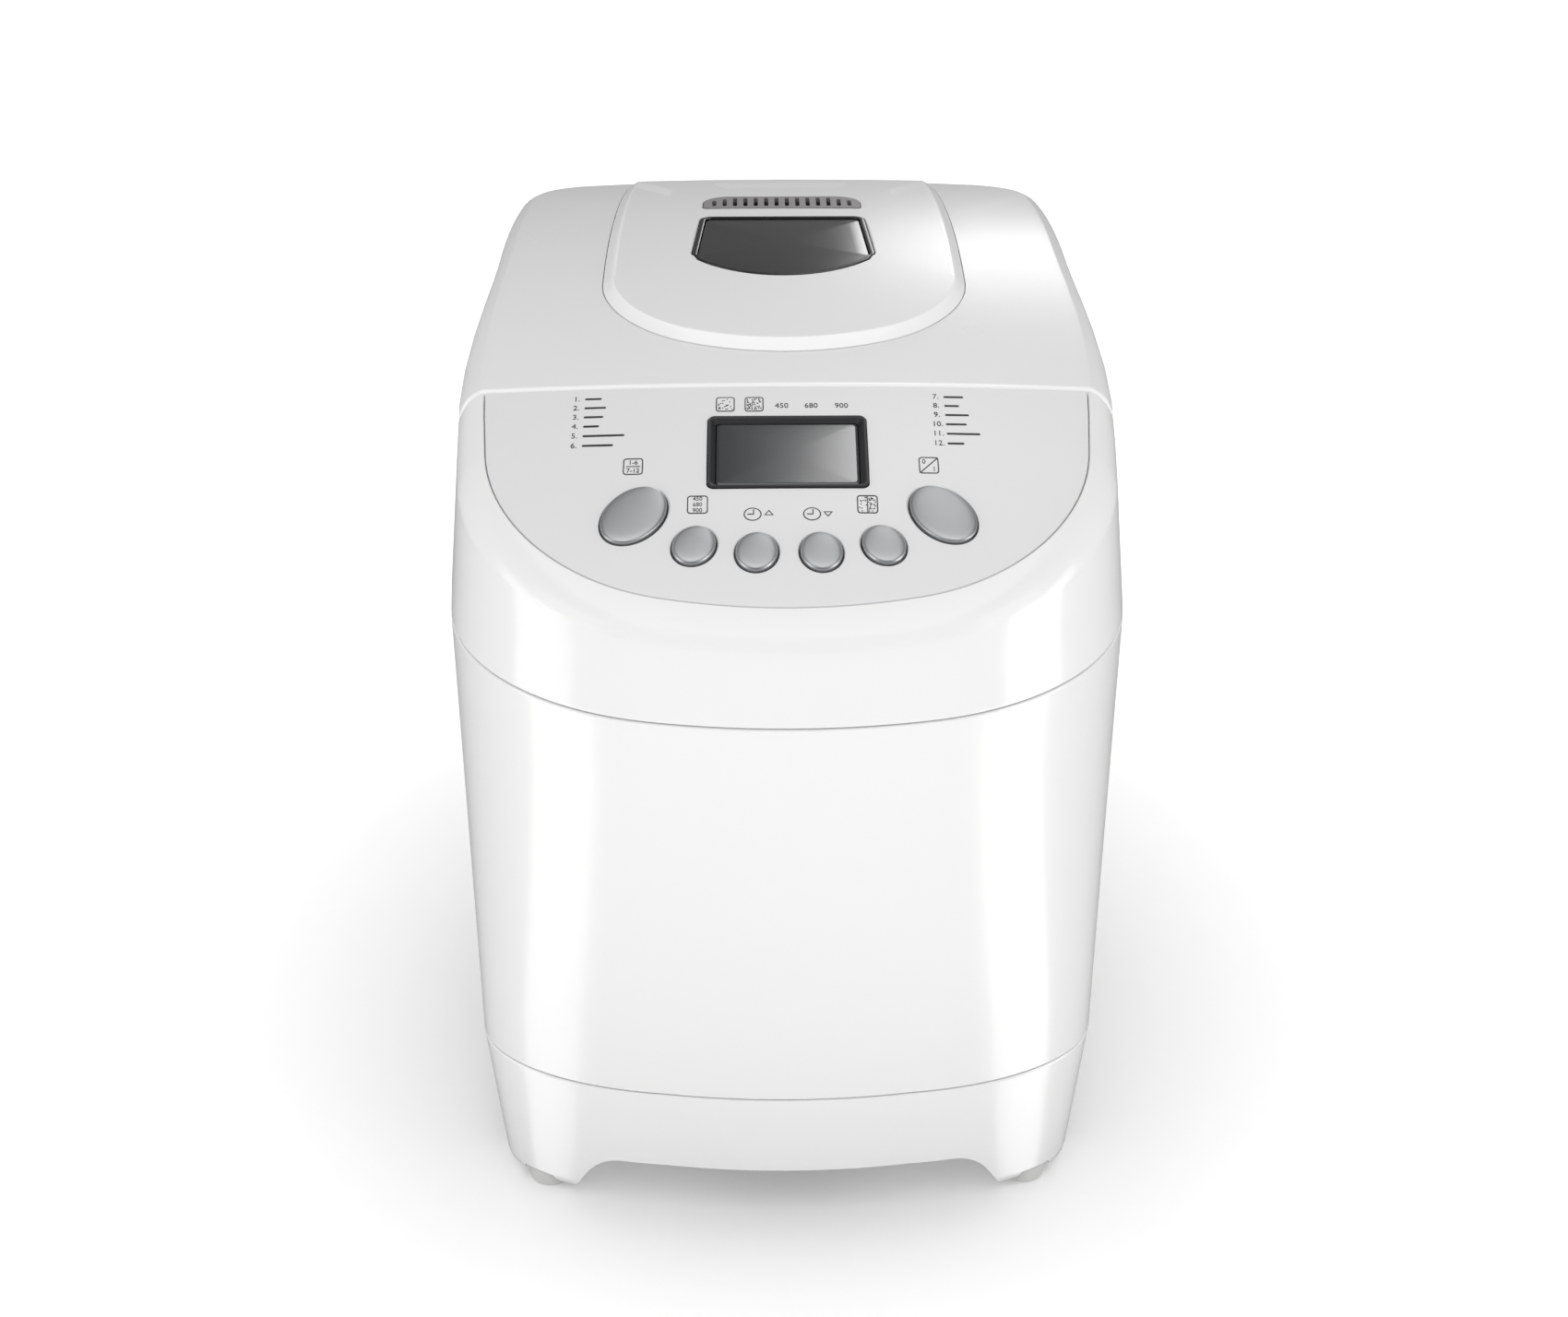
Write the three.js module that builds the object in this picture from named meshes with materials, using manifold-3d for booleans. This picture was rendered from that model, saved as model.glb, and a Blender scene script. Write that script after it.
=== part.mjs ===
// A household bread machine: a tall, leaning plastic housing around a square oven chamber,
// a lift-out pan with a kneading paddle, and a motor that turns the paddle through a belt.
// Millimetres, X right, Y back, Z up. The origin is on the table, under the middle of the machine.
import * as THREE from 'three';
import { mergeVertices } from 'three/addons/utils/BufferGeometryUtils.js';
import Module from 'manifold-3d';

const wasm = await Module();
wasm.setup();

const DEG = Math.PI / 180;

// ---------------------------------------------------------------- driving dimensions

// Overall sizes.
const WIDTH = 228;
const DEPTH = 350;
const CREST_HEIGHT = 297; // highest point of the lid, without the raised centre panel
const WALL = 2.5;
const SEAM_GAP = 0.4; // between shells that butt together
const FIT_GAP = 0.3; // between pieces that touch

// Plan outline at the upper seam: arcs measured by the direction of their normal from the front.
const FRONT_ARC_RADIUS = 198;
const FRONT_ARC_END = 12.5 * DEG;
const CORNER_ARC_END = 84.8 * DEG;
const SIDE_ARC_RADIUS = 1400;
const REAR_CORNER_START = 93.9 * DEG;
const REAR_CORNER_RADIUS = 40;
const REAR_ARC_START = 170 * DEG;

// Heights of the seams and how far the walls lean in from the upper seam to the lower one.
const UPPER_BAND = 73; // upper seam to crest
const LOWER_SEAM = 58;
const FRONT_LEAN = 40;
const SIDE_LEAN = 2.6;
const REAR_LEAN = 6;
const SHOULDER_LEAN = 5; // upper seam to the edge of the bezel
const LID_TAPER = 6; // how much further the sides close in beside the lid

// Crowned top: two arcs that meet at the crest, a sloping control panel in front, the lid behind.
const CREST_Y = 35;
const FRONT_DROP = 39;
const REAR_DROP = 16.2;
const CROSS_ARC_RADIUS = 2400;
const BEZEL_INSET = 12.5;
const BEZEL_DROP = 10;
const PANEL_DEPTH = 113; // front of the machine to the lid seam
const LID_SEAM_GAP = 0.6;
const LID_SKIRT_INSET = 15; // the lid's skirt drops inside the housing's rim
const SHELF_THICKNESS = 2.2;
const FASCIA_INSET = 13.6;
const FASCIA_THICKNESS = 2.2;
const FASCIA_BED = 2.5;

// Base: four legs joined by a floor, with an arch through the front and one through the sides.
const LEG_BOTTOM = 2;
const BASE_FLOOR = 21.7;
const BASE_FLOOR_THICKNESS = 3.1;
const FRONT_ARCH_HALF = 62;
const FRONT_ARCH_FLARE = 17;
const SIDE_ARCH_HEIGHT = 12;
const SIDE_ARCH_END = 66; // from each end of the machine
const FOOT_RADIUS = 9;
const FOOT_HEIGHT = 6;
const POST_RADIUS = 5;
const SCREW_RADIUS = 1.7;
const SCREW_HEAD_RADIUS = 3.6;
const SCREW_LENGTH = 14;

// Lid, its raised centre panel, window and vent.
const DECK_BELOW_CREST = 35;
const SHIELD_RISE = 3;
const SHIELD_BAND = 3.6;
const SHIELD_SEAT = 0.9; // the raised panel sits this deep in the lid
const SHIELD_FRONT_Y = -41;
const SHIELD_FRONT_RADIUS = 85;
const SHIELD_FRONT_END = 22 * DEG;
const SHIELD_HALF = 62;
const SHIELD_REAR_HALF = 58.5;
const SHIELD_REAR_MARGIN = 31; // rear of the machine to the rear of the raised panel
const WINDOW_TOP_HALF = 29.5;
const WINDOW_BOTTOM_HALF = 31.8;
const WINDOW_TOP_Y = 70;
const WINDOW_CORNER_Y = 26;
const WINDOW_ARC_DEPTH = 17.5;
const WINDOW_RIM = 1.8;
const VENT_HALF = 28.7;
const VENT_DEPTH = 18.4;
const VENT_Y = 90.4;
const VENT_SLOTS = 14;
const VENT_SLOT_WIDTH = 1.5;
const LINER_THICKNESS = 1.2;
const LINER_CEILING_BELOW_CREST = 21;

// Hinge at the rear lower edge of the lid.
const HINGE_X = 36;
const HINGE_HALF = 15;
const KNUCKLE_RADIUS = 3.6;
const HINGE_PIN_RADIUS = 1.5;
const LID_KNUCKLE_HALF = 6.5;

// Control panel.
const DISPLAY_WIDTH = 50;
const DISPLAY_LENGTH = 35.5;
const DISPLAY_FROM_FRONT = 79;
const DISPLAY_RIM = 2.4;
const BUTTON_PROUD = 1.6;
const BUTTON_GAP = 0.5;
const BUTTON_DEPTH = 5.5;
const BUTTON_FOCUS_FROM_FRONT = 142; // the ovals all point at this place on the centre line
// name, distance from the centre line, distance from the front, half length, half width
const BUTTONS = [
  ['menu_button', -47.4, 50.4, 13.4, 9.1],
  ['loaf_size_button', -28.8, 37.4, 8.3, 6.5],
  ['timer_up_button', -9.8, 34.6, 8.1, 6.4],
  ['timer_down_button', 9.8, 34.6, 8.1, 6.4],
  ['crust_button', 28.8, 37.4, 8.3, 6.5],
  ['start_stop_button', 47.4, 50.4, 13.4, 9.1],
];

// Oven chamber, pan and what turns the paddle.
const CHAMBER_SIDE_MARGIN = 27; // outside of the machine to the inside of the chamber
const CHAMBER_REAR_MARGIN = 34;
const CHAMBER_FRONT_MARGIN = 15; // lid seam to the inside of the chamber
const CHAMBER_FLOOR = 62;
const CHAMBER_RADIUS = 25;
const SHEET = 1.2;
const CHAMBER_FLANGE = 2.5;
const PAN_SIDE_GAP = 17; // chamber wall to the top of the pan's wall
const PAN_END_GAP = 14;
const PAN_TAPER = 4;
const PAN_BOTTOM = 75;
const PAN_WALL = 1.6;
const PAN_FLOOR = 2;
const PAN_RIM = 3;
const PAN_TOP_GAP = 42; // top of the chamber to the pan's rim
const PAN_RADIUS = 20;
const HANDLE_WIRE_RADIUS = 2.3;
const HANDLE_PIVOT_DROP = 8;
const HANDLE_CEILING_GAP = 4;
const EAR_THICKNESS = 2.2;
const EAR_HALF = 7;
const ELEMENT_RADIUS = 3.2;
const ELEMENT_WALL_GAP = 9; // chamber wall to the middle of the heating tube
const ELEMENT_HEIGHT = 84;
const SPINDLE_RADIUS = 3;
const SHAFT_RADIUS = 4;
const BEARING_RADIUS = 8;
const COUPLING_RADIUS = 14;
const COUPLING_LUG = 6;
const PAN_BASE_RADIUS = 34;

// Belt drive under the chassis plate.
const CHASSIS_BOTTOM = 46;
const CHASSIS_THICKNESS = 2;
const MOTOR_FROM_FRONT = 83;
const MOTOR_RADIUS = 33;
const MOTOR_HEIGHT = 44;
const BIG_PULLEY_RADIUS = 52;
const SMALL_PULLEY_RADIUS = 9;
const PULLEY_BOTTOM = 28;
const PULLEY_WIDTH = 10;
const BELT_THICKNESS = 2;
const BELT_WIDTH = 7;

// ---------------------------------------------------------------- worked-out places

const FRONT = -DEPTH / 2;
const REAR = DEPTH / 2;
const UPPER_SEAM = CREST_HEIGHT - UPPER_BAND;
const DECK = CREST_HEIGHT - DECK_BELOW_CREST;
const CEILING = CREST_HEIGHT - LINER_CEILING_BELOW_CREST;
const SEAM_Y = FRONT + PANEL_DEPTH;
const FLOOR_TOP = BASE_FLOOR + BASE_FLOOR_THICKNESS;
const CHAMBER_HALF_X = WIDTH / 2 - CHAMBER_SIDE_MARGIN;
const CHAMBER_REAR = REAR - CHAMBER_REAR_MARGIN;
const CHAMBER_FRONT = SEAM_Y + CHAMBER_FRONT_MARGIN;
const PAN_Y = (CHAMBER_REAR + CHAMBER_FRONT) / 2;
const CHAMBER_HALF_Y = (CHAMBER_REAR - CHAMBER_FRONT) / 2;
const PAN_HALF_X = CHAMBER_HALF_X - PAN_SIDE_GAP;
const PAN_HALF_Y = CHAMBER_HALF_Y - PAN_END_GAP;
const PAN_TOP = DECK - PAN_TOP_GAP;
const PIVOT_Z = PAN_TOP - HANDLE_PIVOT_DROP;
const HANDLE_REACH = CEILING - PIVOT_Z - HANDLE_WIRE_RADIUS - HANDLE_CEILING_GAP;
const MOTOR_Y = FRONT + MOTOR_FROM_FRONT;

const SHIELD_REAR_Y = REAR - SHIELD_REAR_MARGIN;

// ---------------------------------------------------------------- materials

const plastic = (color, roughness = 0.25) => new THREE.MeshStandardMaterial({ color, roughness, metalness: 0 });
const metal = (color, roughness = 0.35) => new THREE.MeshStandardMaterial({ color, roughness, metalness: 1 });

const WHITE = plastic(0xf0f0ee);
const PANEL_WHITE = plastic(0xdadad9, 0.3);
const VENT_GREY = plastic(0x92908f, 0.4);
const BUTTON_SILVER = metal(0x9a9c9c);
const TRIM_STEEL = metal(0x6c6a6c, 0.25);
const SMOKED_GLASS = plastic(0x2a2c2c, 0.05);
const BLACK_PLASTIC = plastic(0x17181a, 0.4);
const RUBBER = plastic(0x3a3a3c, 0.9);
const STEEL = metal(0xb4b6b8);
const ALUMINIUM = metal(0xc4c6c8, 0.45);
const PAN_COATING = plastic(0x3c3d40, 0.5);
const ELEMENT_STEEL = metal(0x4a4744, 0.55);
const COPPER_WINDING = metal(0x8a5a34, 0.5);
const BOARD_GREEN = plastic(0x2e6b45, 0.6);
const BELT_BLACK = plastic(0x1c1c1c, 0.85);
const BUSH_WHITE = plastic(0xe2dfd6, 0.5);

// ---------------------------------------------------------------- solids

// A closed three.js geometry as a solid that can be joined and cut.
function solid(geometry) {
  const bare = geometry.index ? geometry.toNonIndexed() : geometry.clone();
  bare.deleteAttribute('normal');
  bare.deleteAttribute('uv');
  const merged = mergeVertices(bare, 1e-4);
  const made = new wasm.Manifold(new wasm.Mesh({
    numProp: 3,
    vertProperties: merged.attributes.position.array,
    triVerts: new Uint32Array(merged.index.array),
  }));
  return made;
}

// A solid back as a three.js geometry.
function geometryOf(made) {
  const mesh = made.getMesh();
  const geometry = new THREE.BufferGeometry();
  geometry.setAttribute('position', new THREE.BufferAttribute(new Float32Array(mesh.vertProperties), 3));
  geometry.setIndex(new THREE.BufferAttribute(new Uint32Array(mesh.triVerts), 1));
  geometry.computeVertexNormals();
  return geometry;
}

const cut = (from, ...tools) => tools.reduce((made, tool) => made.subtract(tool), from);
const join = (first, ...others) => others.reduce((made, other) => made.add(other), first);

// A block between two corners.
function block(low, high) {
  const box = new THREE.BoxGeometry(high[0] - low[0], high[1] - low[1], high[2] - low[2]);
  box.translate((low[0] + high[0]) / 2, (low[1] + high[1]) / 2, (low[2] + high[2]) / 2);
  return solid(box);
}

// An upright round bar.
function rod(x, y, radius, bottom, top, sides = 24) {
  const bar = new THREE.CylinderGeometry(radius, radius, top - bottom, sides);
  bar.rotateX(Math.PI / 2);
  bar.translate(x, y, (bottom + top) / 2);
  return solid(bar);
}

// A round bar that lies along X.
function crossRod(left, right, y, z, radius, sides = 20) {
  const bar = new THREE.CylinderGeometry(radius, radius, right - left, sides);
  bar.rotateZ(Math.PI / 2);
  bar.translate((left + right) / 2, y, z);
  return solid(bar);
}

// A round piece turned about an upright axis: profile points are [radius, height].
function turned(x, y, profile, sides = 24) {
  const points = profile.map(([radius, height]) => new THREE.Vector2(radius, height));
  const lathe = new THREE.LatheGeometry(points, sides);
  lathe.rotateX(Math.PI / 2);
  lathe.translate(x, y, 0);
  return solid(lathe);
}

// A ring with a square section.
const ring = (x, y, inner, outer, bottom, top, sides = 24) => turned(x, y, [
  [inner, bottom], [outer, bottom], [outer, top], [inner, top], [inner, bottom],
], sides);

// A flat outline, drawn in plan, pulled up from one height to another.
function slab(shape, bottom, top, curveSegments = 6) {
  const plate = new THREE.ExtrudeGeometry(shape, { depth: top - bottom, bevelEnabled: false, curveSegments });
  plate.translate(0, 0, bottom);
  return solid(plate);
}

const shapeOf = (points) => new THREE.Shape(points.map(([x, y]) => new THREE.Vector2(x, y)));

// Rounded rectangle as a loop of points, counter-clockwise from the right.
function roundedLoop(centreY, halfX, halfY, radius, cornerSteps = 5) {
  const loop = [];
  for (const [quarter, signX, signY] of [[0, 1, 1], [1, -1, 1], [2, -1, -1], [3, 1, -1]]) {
    for (let step = 0; step <= cornerSteps; step += 1) {
      const angle = (quarter + step / cornerSteps) * 90 * DEG;
      const x = signX * (halfX - radius) + radius * Math.cos(angle);
      const y = centreY + signY * (halfY - radius) + radius * Math.sin(angle);
      loop.push([x, y]);
    }
  }
  return loop;
}

const roundedSlab = (centreY, halfX, halfY, radius, bottom, top) => (
  slab(shapeOf(roundedLoop(centreY, halfX, halfY, radius)), bottom, top));

// A skin over loops of equal length. The first and last loops are closed by flat fans.
function loft(loops) {
  const count = loops[0].length;
  const positions = loops.flat(2);
  const faces = [];
  for (let level = 0; level + 1 < loops.length; level += 1) {
    for (let i = 0; i < count; i += 1) {
      const next = (i + 1) % count;
      const a = level * count + i;
      const b = level * count + next;
      faces.push(a, b, b + count, a, b + count, a + count);
    }
  }
  const fan = (loop, offset, flip) => {
    const middle = [0, 1, 2].map((axis) => loop.reduce((sum, point) => sum + point[axis], 0) / count);
    const centre = positions.push(...middle) / 3 - 1;
    for (let i = 0; i < count; i += 1) {
      const next = (i + 1) % count;
      faces.push(centre, offset + (flip ? next : i), offset + (flip ? i : next));
    }
  };
  fan(loops[0], 0, true);
  fan(loops[loops.length - 1], (loops.length - 1) * count, false);
  const geometry = new THREE.BufferGeometry();
  geometry.setAttribute('position', new THREE.Float32BufferAttribute(positions, 3));
  geometry.setIndex(faces);
  return solid(geometry);
}

// Extra points along the long runs of a route, so that a smooth curve through it keeps them straight.
function withMiddles(points, spacing) {
  const route = [points[0]];
  for (let i = 1; i < points.length; i += 1) {
    const gaps = Math.ceil(Math.hypot(...points[i].map((value, axis) => value - points[i - 1][axis])) / spacing);
    for (let k = 1; k <= gaps; k += 1) {
      route.push(points[i].map((value, axis) => points[i - 1][axis] + (value - points[i - 1][axis]) * k / gaps));
    }
  }
  return route;
}

// A round wire along a curve.
function wire(points, radius, steps, tension = 0.5) {
  const path = new THREE.CatmullRomCurve3(points.map((p) => new THREE.Vector3(...p)), false, 'centripetal', tension);
  const section = new THREE.Shape().absarc(0, 0, radius, 0, 2 * Math.PI);
  const tube = new THREE.ExtrudeGeometry(section, { steps, extrudePath: path, curveSegments: 4 });
  return solid(tube);
}

// ---------------------------------------------------------------- the body's outline

// Half of the plan outline at the upper seam: points with the direction that each one faces.
function halfOutline() {
  const cornerRadius = (WIDTH / 2 - FRONT_ARC_RADIUS * Math.sin(FRONT_ARC_END)
    - SIDE_ARC_RADIUS * (1 - Math.sin(CORNER_ARC_END))) / (Math.sin(CORNER_ARC_END) - Math.sin(FRONT_ARC_END));
  const points = [];
  let x = 0;
  let y = FRONT;
  const arc = (radius, from, to, steps) => {
    for (let step = 1; step <= steps; step += 1) {
      const facing = from + (to - from) * step / steps;
      points.push([x + radius * (Math.sin(facing) - Math.sin(from)),
        y + radius * (Math.cos(from) - Math.cos(facing)), facing]);
    }
    [x, y] = points[points.length - 1];
  };
  points.push([x, y, 0]);
  arc(FRONT_ARC_RADIUS, 0, FRONT_ARC_END, 2);
  arc(cornerRadius, FRONT_ARC_END, CORNER_ARC_END, 9);
  arc(SIDE_ARC_RADIUS, CORNER_ARC_END, 90 * DEG, 2);
  const widest = points.length - 1;
  arc(SIDE_ARC_RADIUS, 90 * DEG, REAR_CORNER_START, 2);
  arc(REAR_CORNER_RADIUS, REAR_CORNER_START, REAR_ARC_START, 5);
  arc(x / Math.sin(REAR_ARC_START), REAR_ARC_START, Math.PI, 2);
  const widestY = points[widest][1];
  const stretch = (REAR - widestY) / (y - widestY);
  return points.map(([px, py, facing]) => [px, py > widestY ? widestY + (py - widestY) * stretch : py, facing]);
}

const HALF = halfOutline();
const OUTLINE = [...HALF.slice(0, -1), ...HALF.slice(1).reverse().map(([x, y, facing]) => [-x, y, -facing])];

// Height of the crowned top surface.
function topHeight(x, y) {
  const span = y < CREST_Y ? CREST_Y - FRONT - BEZEL_INSET : REAR - BEZEL_INSET - CREST_Y;
  const drop = y < CREST_Y ? FRONT_DROP : REAR_DROP;
  return CREST_HEIGHT - drop * ((y - CREST_Y) / span) ** 2 - x * x / (2 * CROSS_ARC_RADIUS);
}

// Slope of the top surface along the centre line, as an angle.
const topTilt = (y) => Math.atan(topHeight(0, y + 0.5) - topHeight(0, y - 0.5));

// How far the wall stands in from the outline at a height: at the sides, front and rear.
function lean(z) {
  const below = Math.max(0, (UPPER_SEAM - z) / (UPPER_SEAM - LOWER_SEAM));
  const above = Math.max(0, z - UPPER_SEAM) * SHOULDER_LEAN / (UPPER_BAND - 18);
  const tuck = Math.max(0, LOWER_SEAM - z) * 0.1;
  return {
    side: SIDE_LEAN * below + above + tuck,
    front: FRONT_LEAN * below + above,
    rear: REAR_LEAN * below + above + tuck,
  };
}

// The outline at one level, moved in by the walls' lean and by a further inset.
function levelLoop(z, inset = 0, heightAt = () => z) {
  const { side, front, rear } = lean(z);
  return OUTLINE.map(([x, y, facing]) => {
    const alongY = Math.cos(facing) > 0 ? front : rear;
    const px = x - (side + inset) * Math.sin(facing);
    const py = y + (alongY + inset) * Math.cos(facing);
    return [px, py, heightAt(px, py)];
  });
}

// Beside the lid the top closes in towards the rear: nothing at the lid's seam, full from the crest on.
function lidTaper([x, y, facing]) {
  const along = Math.min(1, Math.max(0, (y - SEAM_Y) / (CREST_Y + 15 - SEAM_Y)));
  return LID_TAPER * Math.abs(Math.sin(facing)) * along * along * (3 - 2 * along);
}

// The outline moved in by one amount all round, without any lean; share is how much of the taper it has.
const insetLoop = (inset, share = 1) => OUTLINE.map((point) => {
  const [x, y, facing] = point;
  const inwards = inset + share * lidTaper(point);
  return [x - inwards * Math.sin(facing), y + inwards * Math.cos(facing)];
});

const flatLoop = (loop, z) => loop.map(([x, y]) => [x, y, z]);
const crownLoop = (loop, offset) => loop.map(([x, y]) => [x, y, topHeight(x, y) + offset]);
const shrink = (loop, factor, centreY) => loop.map(([x, y]) => [x * factor, centreY + (y - centreY) * factor]);

// Rings that close a crowned surface towards its middle.
const CROWN_RINGS = [0.88, 0.68, 0.45, 0.2];
const crownRings = (loop, offset) => CROWN_RINGS.map((factor) => crownLoop(shrink(loop, factor, 0), offset));

// Crowned plate: follows the top surface between two offsets from it.
const crownedPlate = (loop, under, over) => loft([
  ...crownRings(loop, under).reverse(),
  crownLoop(loop, under),
  crownLoop(loop, over),
  ...crownRings(loop, over),
]);

// Height of the bezel's lower edge at a point of the outline.
function edgeHeight(point) {
  const [x, y, facing] = point;
  const inwards = BEZEL_INSET + lidTaper(point);
  return topHeight(x - inwards * Math.sin(facing), y + inwards * Math.cos(facing)) - BEZEL_DROP;
}

// The bezel's lower edge, moved in from the leaning wall and up.
const edgeLoop = (inset, lift, lowest = 0) => OUTLINE.map((point) => {
  const [x, y, facing] = point;
  const z = Math.max(edgeHeight(point), lowest);
  const inwards = (z - UPPER_SEAM) * (SHOULDER_LEAN + lidTaper(point)) / (UPPER_BAND - 18) + inset;
  return [x - inwards * Math.sin(facing), y + inwards * Math.cos(facing), z + lift];
});

// A loop at the height of that edge, anywhere across the shoulder.
const shelfLoop = (inset, lift, lowest) => insetLoop(inset).map(([x, y], index) => (
  [x, y, Math.max(edgeHeight(OUTLINE[index]), lowest) + lift]));

// Everything above the upper seam as one solid, moved in by a wall and down by a top thickness.
function topEnvelope(wall, top) {
  const boundary = insetLoop(BEZEL_INSET + wall * 0.4);
  const bottom = UPPER_SEAM + (wall > 0 ? -5 : SEAM_GAP / 2);
  return loft([
    flatLoop(insetLoop(wall, 0), bottom),
    edgeLoop(wall, -top * 0.4),
    crownLoop(boundary, -top),
    ...crownRings(boundary, -top),
  ]);
}

// A region much bigger than the machine, for cutting at a plane.
const FAR = 400;
const infront = (y) => block([-FAR, -FAR, -FAR], [FAR, y, FAR]);
const behind = (y) => block([-FAR, y, -FAR], [FAR, FAR, FAR]);
const below = (z) => block([-FAR, -FAR, -FAR], [FAR, FAR, z]);

// ---------------------------------------------------------------- model and its parts

const machine = new THREE.Group();
machine.name = 'bread_machine';

function add(name, made, material, parent = machine) {
  const mesh = new THREE.Mesh(made.isBufferGeometry ? made : geometryOf(made), material);
  mesh.name = name;
  parent.add(mesh);
  return mesh;
}

// A group that lies on the top surface at a place along the centre line, tilted with it.
function tiltedGroup(x, y, rise = 0) {
  const group = new THREE.Group();
  group.position.set(x, y, topHeight(x, y) + rise);
  group.rotation.x = topTilt(y);
  machine.add(group);
  return group;
}

// A solid drawn flat at the origin, moved onto the top surface.
function onTop(made, x, y, rise = 0) {
  const turn = topTilt(y) / DEG;
  return made.rotate([turn, 0, 0]).translate([x, y, topHeight(x, y) + rise]);
}

// ---------------------------------------------------------------- base and feet

const FOOT_X = WIDTH / 2 - 30;
const FOOT_FRONT_Y = FRONT + 76;
const FOOT_REAR_Y = REAR - 34;
const FEET = [[-FOOT_X, FOOT_FRONT_Y], [FOOT_X, FOOT_FRONT_Y], [-FOOT_X, FOOT_REAR_Y], [FOOT_X, FOOT_REAR_Y]];

const POST_X = CHAMBER_HALF_X - 17;
const POST_FRONT_Y = MOTOR_Y + 4;
const POST_REAR_Y = PAN_Y + BIG_PULLEY_RADIUS + 18;
const POSTS = [[-POST_X, POST_FRONT_Y], [POST_X, POST_FRONT_Y], [-POST_X, POST_REAR_Y], [POST_X, POST_REAR_Y]];

// The arch between the legs, seen from the front, as a cutter that runs the whole depth.
function frontArch() {
  const outer = FRONT_ARCH_HALF + FRONT_ARCH_FLARE;
  const arch = new THREE.Shape();
  arch.moveTo(-outer, -1);
  arch.bezierCurveTo(-outer + 7, 4, -outer + 8, BASE_FLOOR - 1, -FRONT_ARCH_HALF + 4, BASE_FLOOR);
  arch.lineTo(FRONT_ARCH_HALF - 4, BASE_FLOOR);
  arch.bezierCurveTo(outer - 8, BASE_FLOOR - 1, outer - 7, 4, outer, -1);
  arch.lineTo(-outer, -1);
  const tunnel = new THREE.ExtrudeGeometry(arch, { depth: 2 * FAR, bevelEnabled: false, curveSegments: 7 });
  tunnel.rotateX(Math.PI / 2);
  tunnel.translate(0, FAR, 0);
  return solid(tunnel);
}

function sideArch() {
  return block([-FAR, FRONT + SIDE_ARCH_END + 30, -1], [FAR, REAR - SIDE_ARCH_END, SIDE_ARCH_HEIGHT]);
}

function baseShell() {
  const outer = loft([
    levelLoop(LEG_BOTTOM, 2.5),
    levelLoop(LEG_BOTTOM + 3),
    levelLoop(LOWER_SEAM - SEAM_GAP / 2),
  ]);
  const inner = loft([levelLoop(FLOOR_TOP, WALL), levelLoop(LOWER_SEAM + 1, WALL)]);
  const shell = cut(outer, inner, frontArch(), sideArch());
  const posts = POSTS.map(([x, y]) => rod(x, y, POST_RADIUS, BASE_FLOOR + 1, CHASSIS_BOTTOM - FIT_GAP, 16));
  const screwHoles = POSTS.flatMap(([x, y]) => [
    rod(x, y, SCREW_RADIUS + FIT_GAP, 0, BASE_FLOOR + SCREW_LENGTH + 2, 12),
    rod(x, y, SCREW_HEAD_RADIUS + FIT_GAP, 0, BASE_FLOOR + 1, 12),
  ]);
  const footHoles = FEET.map(([x, y]) => rod(x, y, FOOT_RADIUS + FIT_GAP, 0, FOOT_HEIGHT + FIT_GAP, 20));
  const vents = [];
  for (let row = 0; row < 7; row += 1) {
    const y = MOTOR_Y - 27 + row * 9;
    vents.push(block([-26, y, 0], [26, y + 3, FLOOR_TOP + 1]));
  }
  return cut(join(shell, ...posts), ...screwHoles, ...footHoles, ...vents);
}

add('base_shell', baseShell(), WHITE);
FEET.forEach(([x, y], index) => {
  add(`foot_pad_${index + 1}`, rod(x, y, FOOT_RADIUS, 0, FOOT_HEIGHT, 20), RUBBER);
});
POSTS.forEach(([x, y], index) => {
  const headTop = BASE_FLOOR + 1 - FIT_GAP;
  const screw = turned(x, y, [
    [0, headTop - 2], [SCREW_HEAD_RADIUS, headTop - 2], [SCREW_HEAD_RADIUS, headTop],
    [SCREW_RADIUS, headTop], [SCREW_RADIUS, headTop + SCREW_LENGTH - 1], [0, headTop + SCREW_LENGTH],
  ], 12);
  add(`base_screw_${index + 1}`, screw, STEEL);
});

// ---------------------------------------------------------------- body shell and cord gland

const GLAND_X = 45;
const GLAND_Z = LOWER_SEAM + 24;
const GLAND_RADIUS = 6.5;
const CORD_BORE_RADIUS = 3.6;

// A round bar that lies along Y.
function lengthRod(x, z, radius, front, rear, sides = 20) {
  const bar = new THREE.CylinderGeometry(radius, radius, rear - front, sides);
  bar.translate(x, (front + rear) / 2, z);
  return solid(bar);
}

function bodyShell() {
  const outer = loft([levelLoop(LOWER_SEAM + SEAM_GAP / 2), levelLoop(UPPER_SEAM - SEAM_GAP / 2)]);
  const inner = loft([levelLoop(LOWER_SEAM - 2, WALL), levelLoop(UPPER_SEAM + 2, WALL)]);
  const hole = lengthRod(GLAND_X, GLAND_Z, GLAND_RADIUS + FIT_GAP, REAR - 30, REAR + 5);
  return cut(outer, inner, hole);
}

function cordGland() {
  const wallY = REAR - lean(GLAND_Z).rear;
  const neck = lengthRod(GLAND_X, GLAND_Z, GLAND_RADIUS, wallY - 14, wallY + 1);
  const flange = lengthRod(GLAND_X, GLAND_Z, GLAND_RADIUS + 3, wallY + 0.5, wallY + 3.5);
  const nut = lengthRod(GLAND_X, GLAND_Z, GLAND_RADIUS + 3, wallY - 13, wallY - 8, 6);
  const bore = lengthRod(GLAND_X, GLAND_Z, CORD_BORE_RADIUS, wallY - 20, wallY + 10);
  return cut(join(neck, flange, nut), bore);
}

add('body_shell', bodyShell(), WHITE);
add('cord_gland', cordGland(), BLACK_PLASTIC);

// ---------------------------------------------------------------- hinge

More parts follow.
